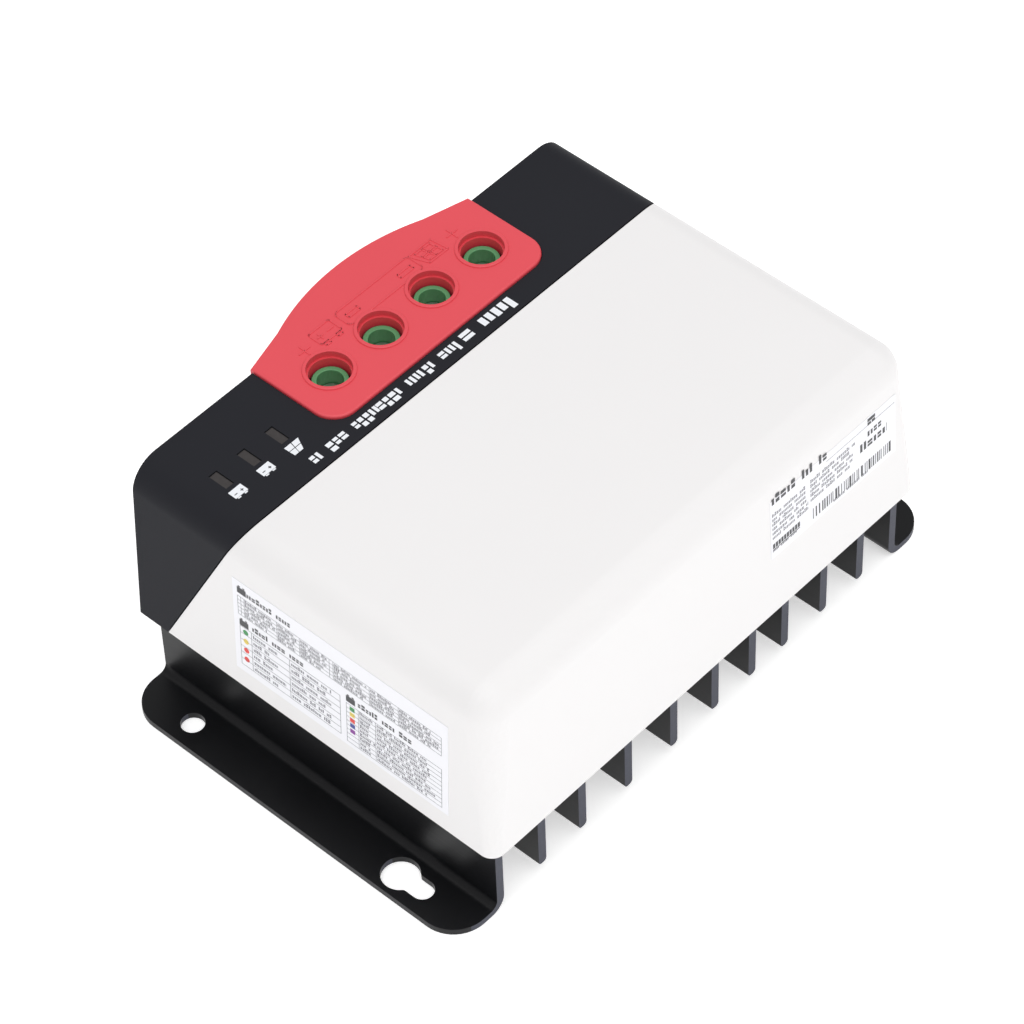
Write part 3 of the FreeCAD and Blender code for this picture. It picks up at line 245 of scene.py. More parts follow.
class Finish:
    """One material: a Principled shader with a few ways to feed it."""

    def __init__(self, name):
        self.material = bpy.data.materials.new(name)
        self.material.use_nodes = True
        self.tree = self.material.node_tree
        self.shader = self.tree.nodes["Principled BSDF"]

    def node(self, kind, settings=None, values=None, output=0):
        """Adds a node: settings first, then its sockets' values or links."""
        made = self.tree.nodes.new(kind)
        for name, setting in (settings or {}).items():
            if name == "stops":
                made.color_ramp.elements[0].position = setting[0]
                made.color_ramp.elements[1].position = setting[1]
            else:
                setattr(made, name, setting)
        for name, given in (values or {}).items():
            if isinstance(given, Signal):
                self.tree.links.new(given.link, made.inputs[name])
            else:
                made.inputs[name].default_value = given
        return Signal(self, made.outputs[output])

    def place(self):
        """The point on the piece, in metres of the shared frame."""
        return self.node("ShaderNodeTexCoord", output="Object")

    def stretched(self, x, y, z):
        """The point with each axis scaled, for a grain that runs one way."""
        return self.node("ShaderNodeMapping", {}, {"Vector": self.place(), "Scale": (x, y, z)})

    def noise(self, scale, detail=2.0, rough=0.5, at=None):
        values = {"Vector": at or self.place(), "Scale": scale, "Detail": detail, "Roughness": rough}
        return self.node("ShaderNodeTexNoise", {}, values)

    def blend(self, share, first, second):
        """A colour between two colours."""
        values = {0: share, 6: first, 7: second}
        return self.node("ShaderNodeMix", {"data_type": "RGBA"}, values, output=2)

    def step(self, signal, low, high):
        """0 below low, 1 above high, and smooth between."""
        return self.node("ShaderNodeValToRGB", {"stops": (low, high)}, {"Fac": signal})

    def feed(self, **inputs):
        for name, given in inputs.items():
            socket = self.shader.inputs[name.replace("_", " ")]
            if isinstance(given, Signal):
                self.tree.links.new(given.link, socket)
            else:
                socket.default_value = given

    def bump(self, height, depth, strength=1.0):
        """Raises the surface by height times depth, in metres."""
        values = {"Height": height, "Distance": depth, "Strength": strength}
        self.feed(Normal=self.node("ShaderNodeBump", {}, values))


def shade(colour, factor):
    """A colour made lighter or darker."""
    return (*[min(1.0, part * factor) for part in colour[:3]], 1.0)


# %% [markdown]
# ## Moulded plastic
#
# Case plastics are spark-textured: a skin of dimples a third of a millimetre across. It scatters
# the light softly and hides handling. Three patterns make it: slow cloudiness in the colour, fine
# grain in the bump, and a little of both in the roughness.


# %% Plastic finishes
def plastic(
    name, colour, roughness, grain=2800.0, grain_depth=0.012 * MM, cloud=0.04, coat=0.0, gloss=0.5
):
    """Spark-textured plastic. Cloud is how far the colour wanders, as a share of itself."""
    finish = Finish(name)
    clouds = finish.noise(26.0, 3.0)
    dimples = finish.noise(grain, 2.0, 0.6)
    colours = finish.blend(clouds, shade(colour, 1 - cloud), shade(colour, 1 + cloud))
    finish.feed(
        Base_Color=finish.blend(dimples * 0.25, colours, shade(colour, 1 - 2.5 * cloud)),
        Roughness=roughness + (clouds - 0.5) * 0.10 + (dimples - 0.5) * 0.12,
        Coat_Weight=coat,
        Specular_IOR_Level=gloss,
    )
    finish.bump(dimples, grain_depth, 0.6)
    return finish.material


white_abs = plastic("white_abs", (0.79, 0.778, 0.778), 0.46, cloud=0.010)
black_abs = plastic(
    "black_abs", (0.0185, 0.019, 0.0235), 0.60, cloud=0.08, grain_depth=0.02 * MM, gloss=0.08
)
red_abs = plastic("red_abs", (0.72, 0.062, 0.082), 0.42, cloud=0.03, grain_depth=0.008 * MM)
green_nylon = plastic("green_nylon", (0.10, 0.33, 0.14), 0.40, cloud=0.06, grain=1800.0)
black_nylon = plastic("black_nylon", (0.020, 0.020, 0.022), 0.45, cloud=0.10, grain=1800.0)
print("plastic finishes ready")

# %% [markdown]
# ## Metals
#
# The heat sink is pushed through a die, which leaves faint lines along its length, and is then
# anodised black. Its ends are sawn after that line has formed, so they look greyer and show the
# saw's arcs. Both are told apart by the surface normal, not by where a camera stands.


# %% Metal finishes
def anodised_extrusion():
    """Black anodising: dark along the die lines, greyer on the sawn ends, which face along Y."""
    finish = Finish("black_anodised")
    die_lines = finish.noise(1.0, 3.0, 0.6, at=finish.stretched(2600, 14, 2600))
    clouds = finish.noise(30.0, 3.0)
    facing = finish.node("ShaderNodeNewGeometry", output="Normal")
    along = finish.node("ShaderNodeSeparateXYZ", {}, {"Vector": facing}, output="Y")
    sawn = abs(along) > 0.92
    saw_marks = finish.noise(1.0, 3.0, 0.5, at=finish.stretched(260, 260, 3200))
    skin = finish.blend(clouds, (0.0035, 0.0036, 0.0045, 1), (0.0060, 0.0062, 0.0075, 1))
    cut = finish.blend(saw_marks, (0.034, 0.036, 0.052, 1), (0.058, 0.062, 0.086, 1))
    finish.feed(
        Base_Color=finish.blend(sawn, skin, cut),
        Roughness=0.38 + (die_lines - 0.5) * 0.18 + (clouds - 0.5) * 0.12 + sawn * 0.10,
        Specular_IOR_Level=0.22,
    )
    finish.bump(die_lines * (1 - sawn) + saw_marks * sawn, 0.010 * MM, 0.6)
    return finish.material


def metal(name, colour, roughness, brushed=(900, 900, 60), tarnish=0.25):
    """Bare or plated metal. Brushed is the scale of its lines on each axis."""
    finish = Finish(name)
    lines = finish.noise(1.0, 3.0, 0.6, at=finish.stretched(*brushed))
    stains = finish.noise(180.0, 4.0, 0.6)
    finish.feed(
        Base_Color=finish.blend(
            finish.step(stains, 0.45, 0.8) * tarnish, shade(colour, 1), shade(colour, 0.55)
        ),
        Metallic=1.0,
        Roughness=roughness + (lines - 0.5) * 0.2 + (stains - 0.5) * 0.15,
    )
    finish.bump(lines, 0.01 * MM, 0.5)
    return finish.material


black_anodised = anodised_extrusion()
zinc_plate = metal("zinc_plate", (0.62, 0.61, 0.57), 0.32)
copper_bar = metal("tinned_copper", (0.85, 0.47, 0.30), 0.30, tarnish=0.45)
brass_plate = metal("nickel_brass", (0.80, 0.62, 0.33), 0.30)
enamel_wire = metal("enamelled_wire", (0.72, 0.28, 0.11), 0.22, (300, 300, 300), 0.3)
print("metal finishes ready")

# %% [markdown]
# ## The other surfaces
#
# Circuit board lacquer is glossy over a woven glass cloth that just shows through. Capacitor
# sleeves are shrunk film. The indicator windows are smoked and hide their lamps until lit.


# %% Board, component, window, print and sticker finishes
def board_lacquer():
    """Green lacquer over glass cloth, with the copper tracks standing a little proud."""
    finish = Finish("board_lacquer")
    cloth = {"Scale": 220.0, "Distortion": 1.5}
    weave = finish.node("ShaderNodeTexWave", {}, {"Vector": finish.place(), **cloth})
    across = finish.node(
        "ShaderNodeTexWave", {"bands_direction": "Y"}, {"Vector": finish.place(), **cloth}
    )
    tracks = finish.node(
        "ShaderNodeTexVoronoi", {"distance": "CHEBYCHEV"}, {"Vector": finish.place(), "Scale": 120.0}
    )
    copper = finish.step(tracks, 0.30, 0.34)
    base = finish.blend(copper, (0.012, 0.10, 0.035, 1), (0.02, 0.155, 0.055, 1))
    finish.feed(Base_Color=base, Roughness=0.22 + (weave + across) * 0.05, Coat_Weight=0.4)
    finish.bump(copper * 0.8 + (weave + across) * 0.1, 0.035 * MM, 0.7)
    return finish.material


def smoked_window():
    """Dark clear plastic, hazed from within."""
    finish = Finish("smoked_window")
    haze = finish.noise(600.0, 3.0)
    finish.feed(
        Base_Color=finish.blend(haze, (0.030, 0.026, 0.026, 1), (0.048, 0.042, 0.042, 1)),
        Roughness=0.24 + haze * 0.12,
        Specular_IOR_Level=0.35,
    )
    finish.bump(haze, 0.01 * MM, 0.4)
    return finish.material


def print_ink(name, colour, cover=0.08):
    """Screen print: nearly even, with a fine mottle where the mesh let less ink through."""
    finish = Finish(name)
    mesh = finish.noise(5200.0, 2.0)
    finish.feed(
        Base_Color=finish.blend(mesh, shade(colour, 1 - cover), shade(colour, 1 + cover)),
        Roughness=0.46 + (mesh - 0.5) * 0.2,
    )
    finish.bump(mesh, 0.004 * MM, 0.4)
    return finish.material


def sticker_film():
    """White printed film: a slow ripple from the glue, and fine fibres in the surface."""
    finish = Finish("sticker_film")
    ripple = finish.noise(45.0, 2.0)
    fibre = finish.noise(2400.0, 3.0)
    finish.feed(
        Base_Color=finish.blend(ripple, (0.82, 0.82, 0.86, 1), (0.85, 0.85, 0.89, 1)),
        Roughness=0.33 + (ripple - 0.5) * 0.1 + (fibre - 0.5) * 0.08,
    )
    finish.bump(ripple * 0.6 + fibre * 0.1, 0.02 * MM, 0.4)
    return finish.material


board_green = board_lacquer()
smoked = smoked_window()
film = sticker_film()
white_ink = print_ink("white_ink", (0.80, 0.82, 0.86))
dark_ink = print_ink("dark_ink", (0.035, 0.035, 0.04), 0.3)
grey_ink = print_ink("grey_ink", (0.13, 0.13, 0.15), 0.2)
INKS = {
    "green": print_ink("green_ink", (0.03, 0.26, 0.07)),
    "yellow": print_ink("yellow_ink", (0.75, 0.58, 0.10)),
    "red": print_ink("red_ink", (0.72, 0.04, 0.03)),
    "blue": print_ink("blue_ink", (0.03, 0.05, 0.30)),
    "violet": print_ink("violet_ink", (0.24, 0.03, 0.30)),
}
ferrite = plastic(
    "coated_ferrite", (0.09, 0.10, 0.11), 0.55, grain=1500.0, grain_depth=0.03 * MM, cloud=0.15
)
sleeve = plastic("shrink_sleeve", (0.02, 0.022, 0.03), 0.25, grain=700.0, cloud=0.1, coat=0.3)
film_case = plastic("film_capacitor_case", (0.55, 0.42, 0.08), 0.4, cloud=0.06)
silicone = plastic("silicone_pad", (0.30, 0.33, 0.36), 0.7, grain=900.0, cloud=0.08)
lamp_resin = plastic("lamp_resin", (0.75, 0.75, 0.70), 0.2, cloud=0.03)
grey_ribbon = plastic("grey_ribbon", (0.42, 0.43, 0.45), 0.45, cloud=0.06)
print("all finishes ready")

# %% [markdown]
# ## Camera, light and floor
#
# The object lies on its back and is seen from above, past the corner between its plain end and
# its right side. A long lens keeps its edges nearly parallel. One big soft light overhead, two
# weaker ones from the plain end and the right side, a pale world and a floor that glows a little
# give broad, low-contrast shading with hardly a shadow.

# %% Set the camera
AZIMUTH, ELEVATION, ROLL = radians(134.084), radians(48.516), radians(-2.378)
DISTANCE = 1.5215
TARGET = Vector((-0.02595, -0.02796, 0.0038))
FOCAL_LENGTH, SENSOR = 158.65, 36.0
NEAREST, FARTHEST = 0.01, 20.0


def aim(distance, azimuth, elevation, roll=0.0):
    """A camera's or lamp's placement: it looks at TARGET from an angle round the object."""
    back = Vector((sin(azimuth) * cos(elevation), -cos(azimuth) * cos(elevation), sin(elevation)))
    right = Vector((cos(azimuth), sin(azimuth), 0))
    up = back.cross(right)
    axes = (right * cos(roll) + up * sin(roll), up * cos(roll) - right * sin(roll), back)
    turn = Matrix(axes).transposed().to_4x4()
    return Matrix.Translation(TARGET + back * distance) @ turn


camera_data = bpy.data.cameras.new("camera")
camera_data.lens, camera_data.sensor_width = FOCAL_LENGTH, SENSOR
camera_data.clip_start, camera_data.clip_end = NEAREST, FARTHEST
camera = bpy.data.objects.new("camera", camera_data)
camera.matrix_world = aim(DISTANCE, AZIMUTH, ELEVATION, ROLL)
bpy.context.scene.collection.objects.link(camera)
bpy.context.scene.camera = camera


# %% Set the lights, the world and the floor
WORLD_STRENGTH = 0.62
FLOOR_GLOW = 0.50
FLOOR_SIZE = 12
FLOOR_DROP = 0.0002


def softbox(name, azimuth, elevation, size, power, distance=1.4):
    """A square lamp of this size, in metres, that looks at TARGET."""
    data = bpy.data.lights.new(name, "AREA")
    data.shape, data.size, data.energy = "SQUARE", size, power
    lamp = bpy.data.objects.new(name, data)
    lamp.matrix_world = aim(distance, radians(azimuth), radians(elevation))
    bpy.context.scene.collection.objects.link(lamp)


softbox("overhead_box", azimuth=150, elevation=84, size=1.6, power=9.9)
softbox("plain_end_box", azimuth=176, elevation=44, size=1.1, power=2.8)
softbox("right_side_box", azimuth=88, elevation=36, size=1.0, power=0.6)
world = bpy.data.worlds.new("studio")
world.use_nodes = True
background = world.node_tree.nodes["Background"]
background.inputs["Color"].default_value = (1.0, 1.0, 1.0, 1.0)
background.inputs["Strength"].default_value = WORLD_STRENGTH
bpy.context.scene.world = world
bpy.context.scene.view_settings.view_transform = "Standard"

bpy.ops.mesh.primitive_plane_add(size=FLOOR_SIZE, location=(0, 0, -FLOOR_DROP))
floor = bpy.context.object
floor.name = "floor"
paper = Finish("pale_paper")
fibres = paper.noise(900.0, 2.0)
paper.feed(
    Base_Color=paper.blend(fibres, (0.90, 0.90, 0.90, 1), (0.93, 0.93, 0.93, 1)),
    Roughness=0.9,
    Emission_Color=(1.0, 1.0, 1.0, 1.0),
    Emission_Strength=FLOOR_GLOW,
)
floor.data.materials.append(paper.material)

# %% [markdown]
# ## The casing
#
# The white and black shells are mouldings whose upper edges are already broadly rounded. The
# copies keep that round and add the small tool radius along the seam, which turns the narrow gap
# between the shells into the dark line with two soft lips that a real joint has.

# %% Finish the two shells and the heat sink
for node, name, width, look in (
    ("main_cover", "white_cover_shell", 0.25 * MM, white_abs),
    ("terminal_housing", "black_terminal_shell", 0.25 * MM, black_abs),
    ("heat_sink", "finned_back", 0.3 * MM, black_anodised),
):
    shell = moulded_copy(node, name, width, 2)
    fit(shell, body_of(node), slot_of(node), look, node)
    print(name, len(shell.data.polygons), "faces")

# %% [markdown]
# ## The red terminal cover
#
# The lift-off cover is softer than the rest: its rim and the raised lips of its four driver holes
# are already rounded. A fine bevel on what is left gives each hole the bright collar that the eye
# reads first.

# %% Finish the terminal cover
cover = moulded_copy("terminal_cover", "red_lift_off_cover", 0.2 * MM, 3)
fit(cover, "terminal_cover", slot_of("terminal_cover"), red_abs, "terminal_cover")
print("terminal cover", len(cover.data.polygons), "faces")

# %% [markdown]
# ## Raised symbols on the cover
#
# Polarity and source are moulded into the cover as low ridges: plus, panel, a long box with the
# two minus signs, battery, plus. A ridge is a thin bar; a symbol is a few bars joined and bevelled
# so that they keep the cover's own colour and show only by their shading.

# %% Build the ridges
RIDGE_WIDTH, RIDGE_HEIGHT = 0.55 * MM, 0.24 * MM
RIM_HEIGHT = 0.5 * MM
COVER_TOP = COVER_HIGH.z - RIM_HEIGHT
SYMBOL_Y = middle("terminal_cover").y - 5.6 * MM
PLUS_ARM = 2.3 * MM
BOX_POINTS = 16


def ridge(start, end):
    """A low bar between two points on the cover's top. A third of it is sunk in the cover."""
    start, end = Vector(start), Vector(end)
    run = end - start
    centre = (*((start + end) / 2), COVER_TOP + RIDGE_HEIGHT / 4)
    bpy.ops.mesh.primitive_cube_add(size=1, location=centre)
    piece = bpy.context.object
    piece.scale = (run.length + RIDGE_WIDTH, RIDGE_WIDTH, RIDGE_HEIGHT * 1.5)
    piece.rotation_euler = (0, 0, atan2(run.y, run.x))
    return settle(piece)


def outline(points):
    """Ridges round a closed figure."""
    return [ridge(a, b) for a, b in zip(points, points[1:] + points[:1])]


def rounded_box(x, y, half_width, half_height, corner):
    """A box round (x, y) whose corners are turned in three short steps, from four points each."""
    points = []
    for n in range(BOX_POINTS):
        turn = radians(360 / BOX_POINTS * (n + 0.5))
        reach = (half_width - corner) * (1 if cos(turn) > 0 else -1)
        rise = (half_height - corner) * (1 if sin(turn) > 0 else -1)
        points.append((x + reach + corner * cos(turn), y + rise + corner * sin(turn)))
    return outline(points)


def plus_sign(x, y, arm):
    """Two crossed ridges."""
    return [ridge((x - arm, y), (x + arm, y)), ridge((x, y - arm), (x, y + arm))]


def minus_sign(x, y, half_width, half_height):
    """The outline of a thick dash."""
    return rounded_box(x, y, half_width, half_height, 0.3 * MM)


def panel_symbol(x, y):
    """A leaning panel with two by two panes."""
    low_left = Vector((x - 5.0 * MM, y - 3.5 * MM))
    low_right = Vector((x + 5.4 * MM, y - 3.4 * MM))
    high_left = Vector((x - 5.8 * MM, y + 3.8 * MM))
    high_right = Vector((x + 2.8 * MM, y + 3.7 * MM))

    def spot(u, v):
        """The point at these shares of the panel's width and height."""
        return low_left.lerp(low_right, u).lerp(high_left.lerp(high_right, u), v)

    bars = []
    for left, right, low, high in (
        (0.0, 1.0, 0.0, 1.0),
        (0.16, 0.46, 0.14, 0.45),
        (0.54, 0.84, 0.14, 0.45),
        (0.16, 0.46, 0.56, 0.87),
        (0.54, 0.84, 0.56, 0.87),
    ):
        corners = ((left, low), (right, low), (right, high), (left, high))
        bars += outline([spot(*corner) for corner in corners])
    return bars


def battery_symbol(x, y):
    """A battery seen from the front: its case, two posts, a plus and a dash."""
    bars = rounded_box(x, y - 0.4 * MM, 4.7 * MM, 3.2 * MM, 0.8 * MM)
    for side in (-1, 1):
        bars += rounded_box(x + side * 2.7 * MM, y + 3.4 * MM, 1.0 * MM, 0.7 * MM, 0.25 * MM)
    bars += plus_sign(x + 2.3 * MM, y - 0.3 * MM, 1.2 * MM)
    bars.append(ridge((x - 3.4 * MM, y - 0.3 * MM), (x - 1.0 * MM, y - 0.3 * MM)))
    return bars


hole_x = [middle(name + "_screw").x for name in TERMINALS]
between = (hole_x[1] + hole_x[2]) / 2
bars = plus_sign(hole_x[0] - 0.8 * MM, SYMBOL_Y + 0.3 * MM, PLUS_ARM)
bars += plus_sign(hole_x[3] + 1.2 * MM, SYMBOL_Y, PLUS_ARM)
bars += battery_symbol((hole_x[0] + hole_x[1]) / 2 + 0.9 * MM, SYMBOL_Y)
bars += panel_symbol((hole_x[2] + hole_x[3]) / 2 + 0.9 * MM, SYMBOL_Y)
bars += rounded_box(between, SYMBOL_Y, 17.3 * MM, 3.9 * MM, 1.8 * MM)
bars += minus_sign(hole_x[1] + 0.4 * MM, SYMBOL_Y, 2.6 * MM, 0.9 * MM)
bars += minus_sign(hole_x[2], SYMBOL_Y + 0.5 * MM, 3.0 * MM, 0.9 * MM)
ridges = join("raised_symbols", bars)
soften(ridges, 0.14 * MM, 2)
fit(ridges, "terminal_cover", slot_of("terminal_cover"), red_abs)
print("raised symbols", len(ridges.data.polygons), "faces")

# %% [markdown]
# ## Terminals
#
# Down each driver hole the eye meets a green collar, and inside it the slotted head of the clamp
# screw. The collar's rim is lightly rounded; the screw is zinc plated.

# %% Finish the terminal blocks, clamps and screws
TERMINAL_PARTS = (
    ("block", 0.3 * MM, green_nylon),
    ("clamp", 0.2 * MM, zinc_plate),
    ("screw", 0.2 * MM, zinc_plate),
)
for terminal in TERMINALS:
    for part, width, look in TERMINAL_PARTS:
        node = f"{terminal}_{part}"
        piece = moulded_copy(node, f"{node}_finished", width, 2)
        fit(piece, body_of(node), slot_of(node), look, node)
print("terminals finished")

# %% [markdown]
# ## Print
#
# Print is a film of ink a few hundredths of a millimetre thick. Each colour is one mesh of small
# plates on a plane that is read from the surface under it. Words are stood in for by rows of
# plain strokes of uneven height: they have the weight and rhythm of text and say nothing.


# %% A plane to print on, and the printer
class Sheet:
    """A flat surface: corner, across and down directions, and the way it faces."""

    def __init__(self, corner, across, down):
        self.corner = Vector(corner)
        self.across = Vector(across).normalized()
        self.down = Vector(down).normalized()
        self.out = self.down.cross(self.across).normalized()

    def point(self, u, v, lift):
        """The point this far across, down and off the sheet, in metres."""
        return self.corner + self.across * u + self.down * v + self.out * lift


INK = 0.02 * MM


def lay_ink(name, sheet, figures, finish, body, slot):
    """Makes one thin piece from flat figures, each a list of (across, down) corners in mm."""
    points, faces = [], []
    for figure in figures:
        start, count = len(points), len(figure)
        for lift in (INK * 0.25, INK):
            points += [sheet.point(u * MM, v * MM, lift) for u, v in figure]
        low, high = range(start, start + count), range(start + count, start + 2 * count)
        faces += [tuple(low), tuple(reversed(high))]
        for i in range(count):
            after = (i + 1) % count
            faces.append((high[i], high[after], low[after], low[i]))
    mesh = bpy.data.meshes.new(name)
    mesh.from_pydata(points, [], faces)
    piece = bpy.data.objects.new(name, mesh)
    bpy.context.scene.collection.objects.link(piece)
    take(piece)
    bpy.ops.object.mode_set(mode="EDIT")
    bpy.ops.mesh.select_all(action="SELECT")
    bpy.ops.mesh.normals_make_consistent(inside=False)
    bpy.ops.object.mode_set(mode="OBJECT")
    return fit(piece, body, slot, finish)


def bar(u, v, width, height):
    """An upright plate whose upper left corner is at (u, v)."""
    return [(u, v), (u + width, v), (u + width, v + height), (u, v + height)]


def disc(u, v, radius, sides=16):
    """A round plate, as an even polygon."""
    turns = [2 * pi * n / sides for n in range(sides)]
    return [(u + radius * cos(turn), v + radius * sin(turn)) for turn in turns]


def strokes(rng, u, v, length, height, weight=0.3, gap=0.25):
    """A row of plain strokes from u, base line at v: words that say nothing.

    Weight and gap are shares of the height. Words hold three to eight strokes, and a wide stroke
    is split in two, one above the other.
    """
    figures, end, left = [], u + length, rng.randint(3, 8)
    while u < end:
        if left == 0:
            u += height * 0.7
            left = rng.randint(3, 8)
            continue
        width = height * rng.choice((weight, weight, weight * 1.6, weight * 2.1))
        tall = height * rng.choice((0.70, 0.70, 0.76, 1.0))
        figures.append(bar(u, v - tall, min(width, end - u), tall))
        if width > height * weight * 1.3:
            figures[-1] = bar(u, v - tall, width, tall * 0.42)
            figures.append(bar(u, v - tall * 0.42, width, tall * 0.42))
        u += width + height * gap
        left -= 1
    return figures


# %% [markdown]
# ## Print on the black shell
#
# A white line of print runs between the red cover and the seam, and each indicator window has a
# filled symbol beside it: panel, battery, battery.

# %% Print the title line and the indicator symbols
rng = random.Random(7)
top_sheet = Sheet((0, 0, CASE_TOP), (1, 0, 0), (0, -1, 0))
TITLE_MIDDLE = -(SEAM_TOP / MM - 4.4)
title = []
for start, end, height, weight in (
    (-31.8, -8.0, 5.2, 0.42),
    (-6.1, 9.5, 4.2, 0.28),
    (10.4, 30.1, 4.2, 0.28),
    (31.0, 59.5, 4.2, 0.28),
):
    title += strokes(rng, start, TITLE_MIDDLE + height / 2, end - start, height, weight, 0.16)
lay_ink("title_print", top_sheet, title, white_ink, "controller", "label_white")


def battery_figure(u, v):
    """A filled battery, seen from the front, with two posts."""
    case = bar(u - 2.7, v - 1.6, 5.4, 3.6)
    posts = [bar(u + left, v - 2.2, 1.3, 0.5) for left in (-2.1, 0.8)]
    return [case, *posts]


def pole_marks(u, v):
    """The small plus and minus inside a battery."""
    plus = [bar(u - 1.9, v - 0.35, 1.2, 0.32), bar(u - 1.46, v - 0.79, 0.32, 1.2)]
    minus = bar(u + 0.7, v - 0.35, 1.2, 0.32)
    return [*plus, minus]


def panel_figure(u, v):
    """A leaning panel of two by two panes."""
    panes = []
    for left, right in ((-1.0, -0.05), (0.05, 1.0)):
        for high, low in ((-1.0, -0.06), (0.06, 1.0)):
            corners = ((left, high), (right, high), (right, low), (left, low))
            panes.append([(u + a * (2.5 + 0.6 * b) - 0.5 * b, v + 2.3 * b) for a, b in corners])
    return panes


symbols, marks = [], []
for name in INDICATORS:
    spot = middle(f"{name}_indicator_lens") / MM
    if name == "solar":
        symbols += panel_figure(spot.x, -spot.y - 8.0)
    else:
        symbols += battery_figure(spot.x, -spot.y - 7.6)
        marks += pole_marks(spot.x, -spot.y - 7.6)
lay_ink("indicator_symbols", top_sheet, symbols, white_ink, "controller", "label_white")
mark_sheet = Sheet((0, 0, CASE_TOP + INK), (1, 0, 0), (0, -1, 0))
lay_ink("indicator_marks", mark_sheet, marks, dark_ink, "controller", "label_white")
for name in INDICATORS:
    node = f"{name}_indicator_lens"
    fit(moulded_copy(node, f"{name}_window", 0.12 * MM, 2), "controller", "smoked_lens", smoked, node)
print("top print ready")


# %% [markdown]
# ## Stickers
#
# Both stickers are white film. The large one holds tables with coloured dots; the small one holds
# a heading, rows of small print and a field of upright bars. All of it is placed in millimetres
# from the film's own upper corner.


# %% Find a sticker's printed face
def sticker_sheet(node, outward, across):
    """The sheet on a sticker's outer face, its corner at the upper left as read."""
    mesh = frame["nodes"][node].data
    face = max(mesh.polygons, key=lambda p: p.normal.dot(Vector(outward)) * p.area)
    out, across = face.normal.copy(), Vector(across)
    down = across.cross(out).normalized()
    if down.z > 0:
        down = -down
    facing = [p for p in mesh.polygons if p.normal.dot(out) > 0.999]
    points = [mesh.vertices[i].co for p in facing for i in p.vertices]
    u = min(p.dot(across) for p in points)
    v = min(p.dot(down) for p in points)
    corner = across * u + down * v + out * points[0].dot(out)
    size = []
    for axis in (across, down):
        reach = [p.dot(axis) for p in points]
        size.append(max(reach) - min(reach))
    sheet = Sheet(corner, across, down)
    sheet.out = out
    return sheet, size[0] / MM, size[1] / MM


def frame_lines(u0, v0, u1, v1, columns, rows, thick=0.16):
    """A table's lines: its outline, its columns at the given places, and even rows."""
    figures = [bar(u, v0, thick, v1 - v0) for u in (u0, u1 - thick, *columns)]
    figures += [bar(u0, v0 + (v1 - v0) * n / rows, u1 - u0, thick) for n in range(rows + 1)]
    return figures


# %% Print the side sticker
side_sheet, side_length, side_height = sticker_sheet("side_label", (1, 0, 0), (0, 1, 0))
rng = random.Random(11)
right_edge = side_length - 2.6
LEGEND_LINES = (3.4, 4.8, 19.0, 28.8, 41.6, 43.2, 58.6, 70.8)
lines = frame_lines(2.0, 6.8, right_edge, 15.2, LEGEND_LINES, 5)
lines += frame_lines(2.4, 20.4, 46.0, 38.4, (7.4, 24.0), 6, 0.18)
lines += frame_lines(48.5, 21.6, right_edge, 39.6, (53.6, 60.9), 9)
SIDE_STROKES = {"weight": 0.3, "gap": 0.18}
LEGEND_COLUMNS = (
    (5.2, 18.6),
    (19.5, 28.4),
    (29.3, 41.2),
    (43.7, 58.2),
    (59.1, 70.4),
    (71.3, right_edge - 0.6),
)
small_print = []
for start, end in LEGEND_COLUMNS:
    for n in range(5):
        length = (end - start) * rng.uniform(0.7, 0.98)
        small_print += strokes(rng, start, 8.25 + n * 1.68, length, 1.15, **SIDE_STROKES)


def table_rows(rows, first, pitch, height, columns):
    """Even rows of small print: each column starts at u and has a shortest and longest row."""
    figures = []
    for n in range(rows):
        for u, shortest, longest in columns:
            length = rng.uniform(shortest, longest)
            figures += strokes(rng, u, first + n * pitch, length, height, **SIDE_STROKES)
    return figures


small_print += table_rows(6, 22.7, 3.0, 1.5, ((8.2, 7, 14.5), (24.8, 13, 20.0)))
small_print += table_rows(9, 23.1, 2.0, 1.25, ((54.2, 3.5, 6.2), (61.5, 18, 26)))
headings = []
for u, v, length in ((6.2, 5.2, 18.0), (8.0, 19.4, 21.0), (53.6, 20.0, 22.0)):
    headings += strokes(rng, u, v, length, 2.3, **SIDE_STROKES)
for u, v in ((2.0, 2.0), (2.4, 16.8), (48.5, 17.4)):
    headings += [bar(u, v + 0.7, 3.9, 2.7), bar(u + 0.5, v, 0.9, 0.6), bar(u + 2.5, v, 0.9, 0.6)]
for name, figures, ink in (
    ("side_table_lines", lines, grey_ink),
    ("side_small_print", small_print, grey_ink),
    ("side_headings", headings, dark_ink),
):
    lay_ink(name, side_sheet, figures, ink, "controller", "label_white")
dots = {"green": [], "yellow": [], "red": [], "blue": [], "violet": []}
for n, colour in enumerate(("green", "yellow", "red", "red")):
    dots[colour].append(disc(4.9, 22.4 + n * 4.2, 1.15))
for n, colour in enumerate(("green", "yellow", "red", "blue", "violet")):
    dots[colour].append(bar(50.0, 22.3 + n * 2.6, 2.1, 1.9))
for colour, figures in dots.items():
    lay_ink(f"side_{colour}_marks", side_sheet, figures, INKS[colour], "controller", "label_white")
print("side sticker", round(side_length, 1), "x", round(side_height, 1), "mm")

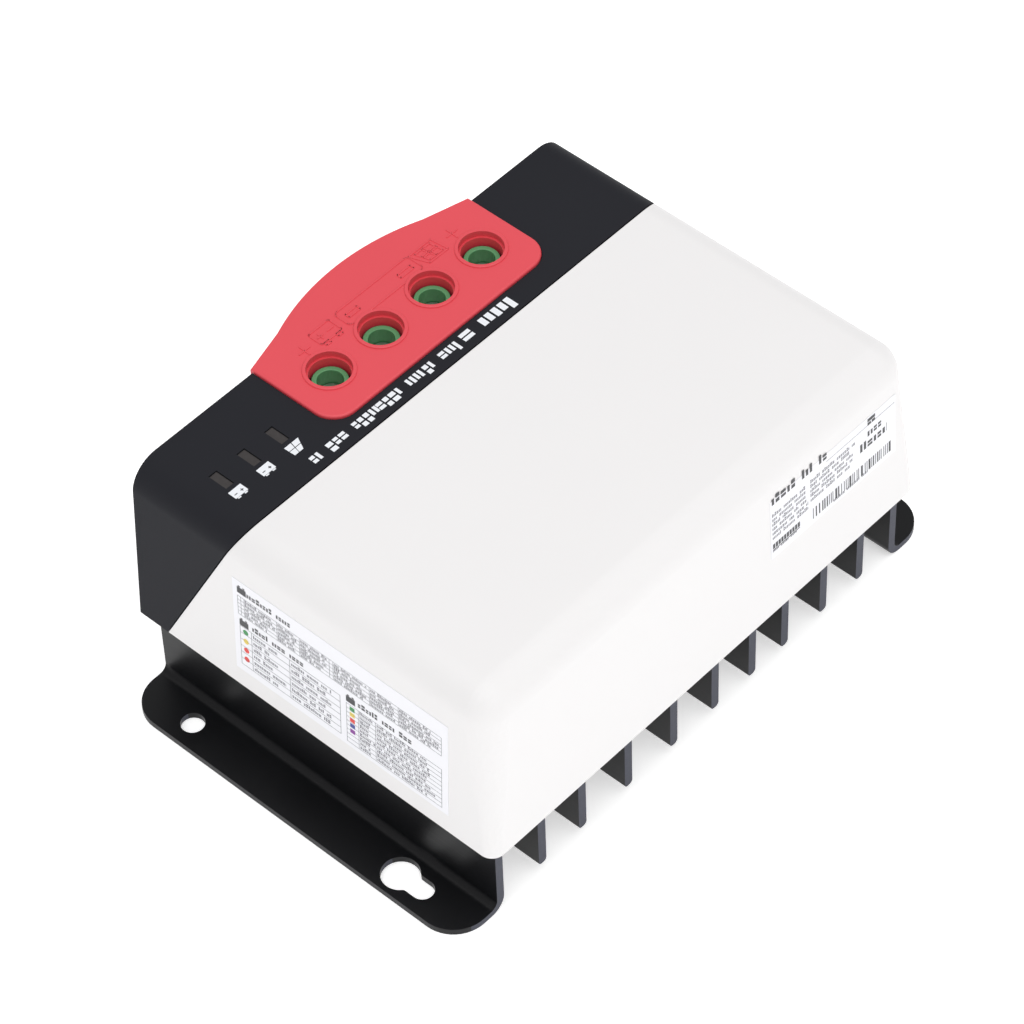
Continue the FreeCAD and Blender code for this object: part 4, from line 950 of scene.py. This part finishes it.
# %% Print the rating sticker
rating_sheet, rating_length, rating_height = sticker_sheet("rating_label", (0, 1, 0), (-1, 0, 0))
rng = random.Random(23)
LEFT = 0.8
BARS_START, BARS_END, BARS_HIGH, BARS_HEIGHT = 20.5, 59.5, 19.2, 4.7
FOOT_STROKES = {"weight": 0.28, "gap": 0.18}
bold = strokes(rng, LEFT, 1.8, 26.2, 3.8, 0.3, 0.2)
bold += [bar(LEFT + n * 1.35, 19.6, 1.05, 2.2) for n in range(10)] + [bar(LEFT, 22.1, 13.2, 0.4)]
bold += [bar(48.0, 0.5, 3.8, 1.4), bar(48.0, 2.2, 1.7, 1.3), bar(50.1, 2.2, 1.7, 1.3)]
for u, v, length, height in ((48.0, 8.4, 5.4, 3.0), (44.2, 13.0, 13.4, 3.6)):
    bold += strokes(rng, u, v, length, height, 0.32, 0.2)
u = BARS_START
while u < BARS_END:
    width = rng.choice((0.35, 0.35, 0.6, 0.95))
    bold.append(bar(u, BARS_HIGH, width, BARS_HEIGHT))
    u += width + rng.choice((0.45, 0.6, 1.0))
fine = [bar(27.5, 3.2, rating_length - 28.0, 0.18)]
for n in range(6):
    fine += strokes(rng, LEFT, 7.2 + n * 2.05, rng.uniform(14, 17.5), 1.5, 0.26, 0.18)
    if n < 5:
        fine += strokes(rng, 19.5, 6.8 + n * 2.1, rng.uniform(16, 22), 1.5, 0.26, 0.18)
for u, v, length, height in ((30.8, 24.5, 17.0, 1.4), (LEFT, 23.2, 11.0, 1.2)):
    fine += strokes(rng, u, v, length, height, **FOOT_STROKES)
lay_ink("rating_bold_print", rating_sheet, bold, dark_ink, "controller", "label_white")
lay_ink("rating_fine_print", rating_sheet, fine, grey_ink, "controller", "label_white")
print("rating sticker", round(rating_length, 1), "x", round(rating_height, 1), "mm")

# %% [markdown]
# ## Inside the casing
#
# The parts inside are seen only when the cover is off or the assembly is opened, but each has its
# own finish. The CAD shapes are right for them, so they stay and only change material.

# %% Give the inner pieces their finishes
LOOKS = {
    "zinc_steel": zinc_plate,
    "brass": brass_plate,
    "copper": copper_bar,
    "circuit_board": board_green,
    "ferrite": ferrite,
    "capacitor_sleeve": sleeve,
    "component_yellow": film_case,
    "component_black": black_nylon,
    "pad_grey": silicone,
    "lamp_white": lamp_resin,
    "ribbon_grey": grey_ribbon,
    "label_white": film,
    "terminal_green": green_nylon,
}
for node, piece in frame["nodes"].items():
    if piece.hide_render:
        continue
    look = enamel_wire if node.endswith("_winding") else LOOKS[slot_of(node)]
    piece.data.materials.clear()
    piece.data.materials.append(look)
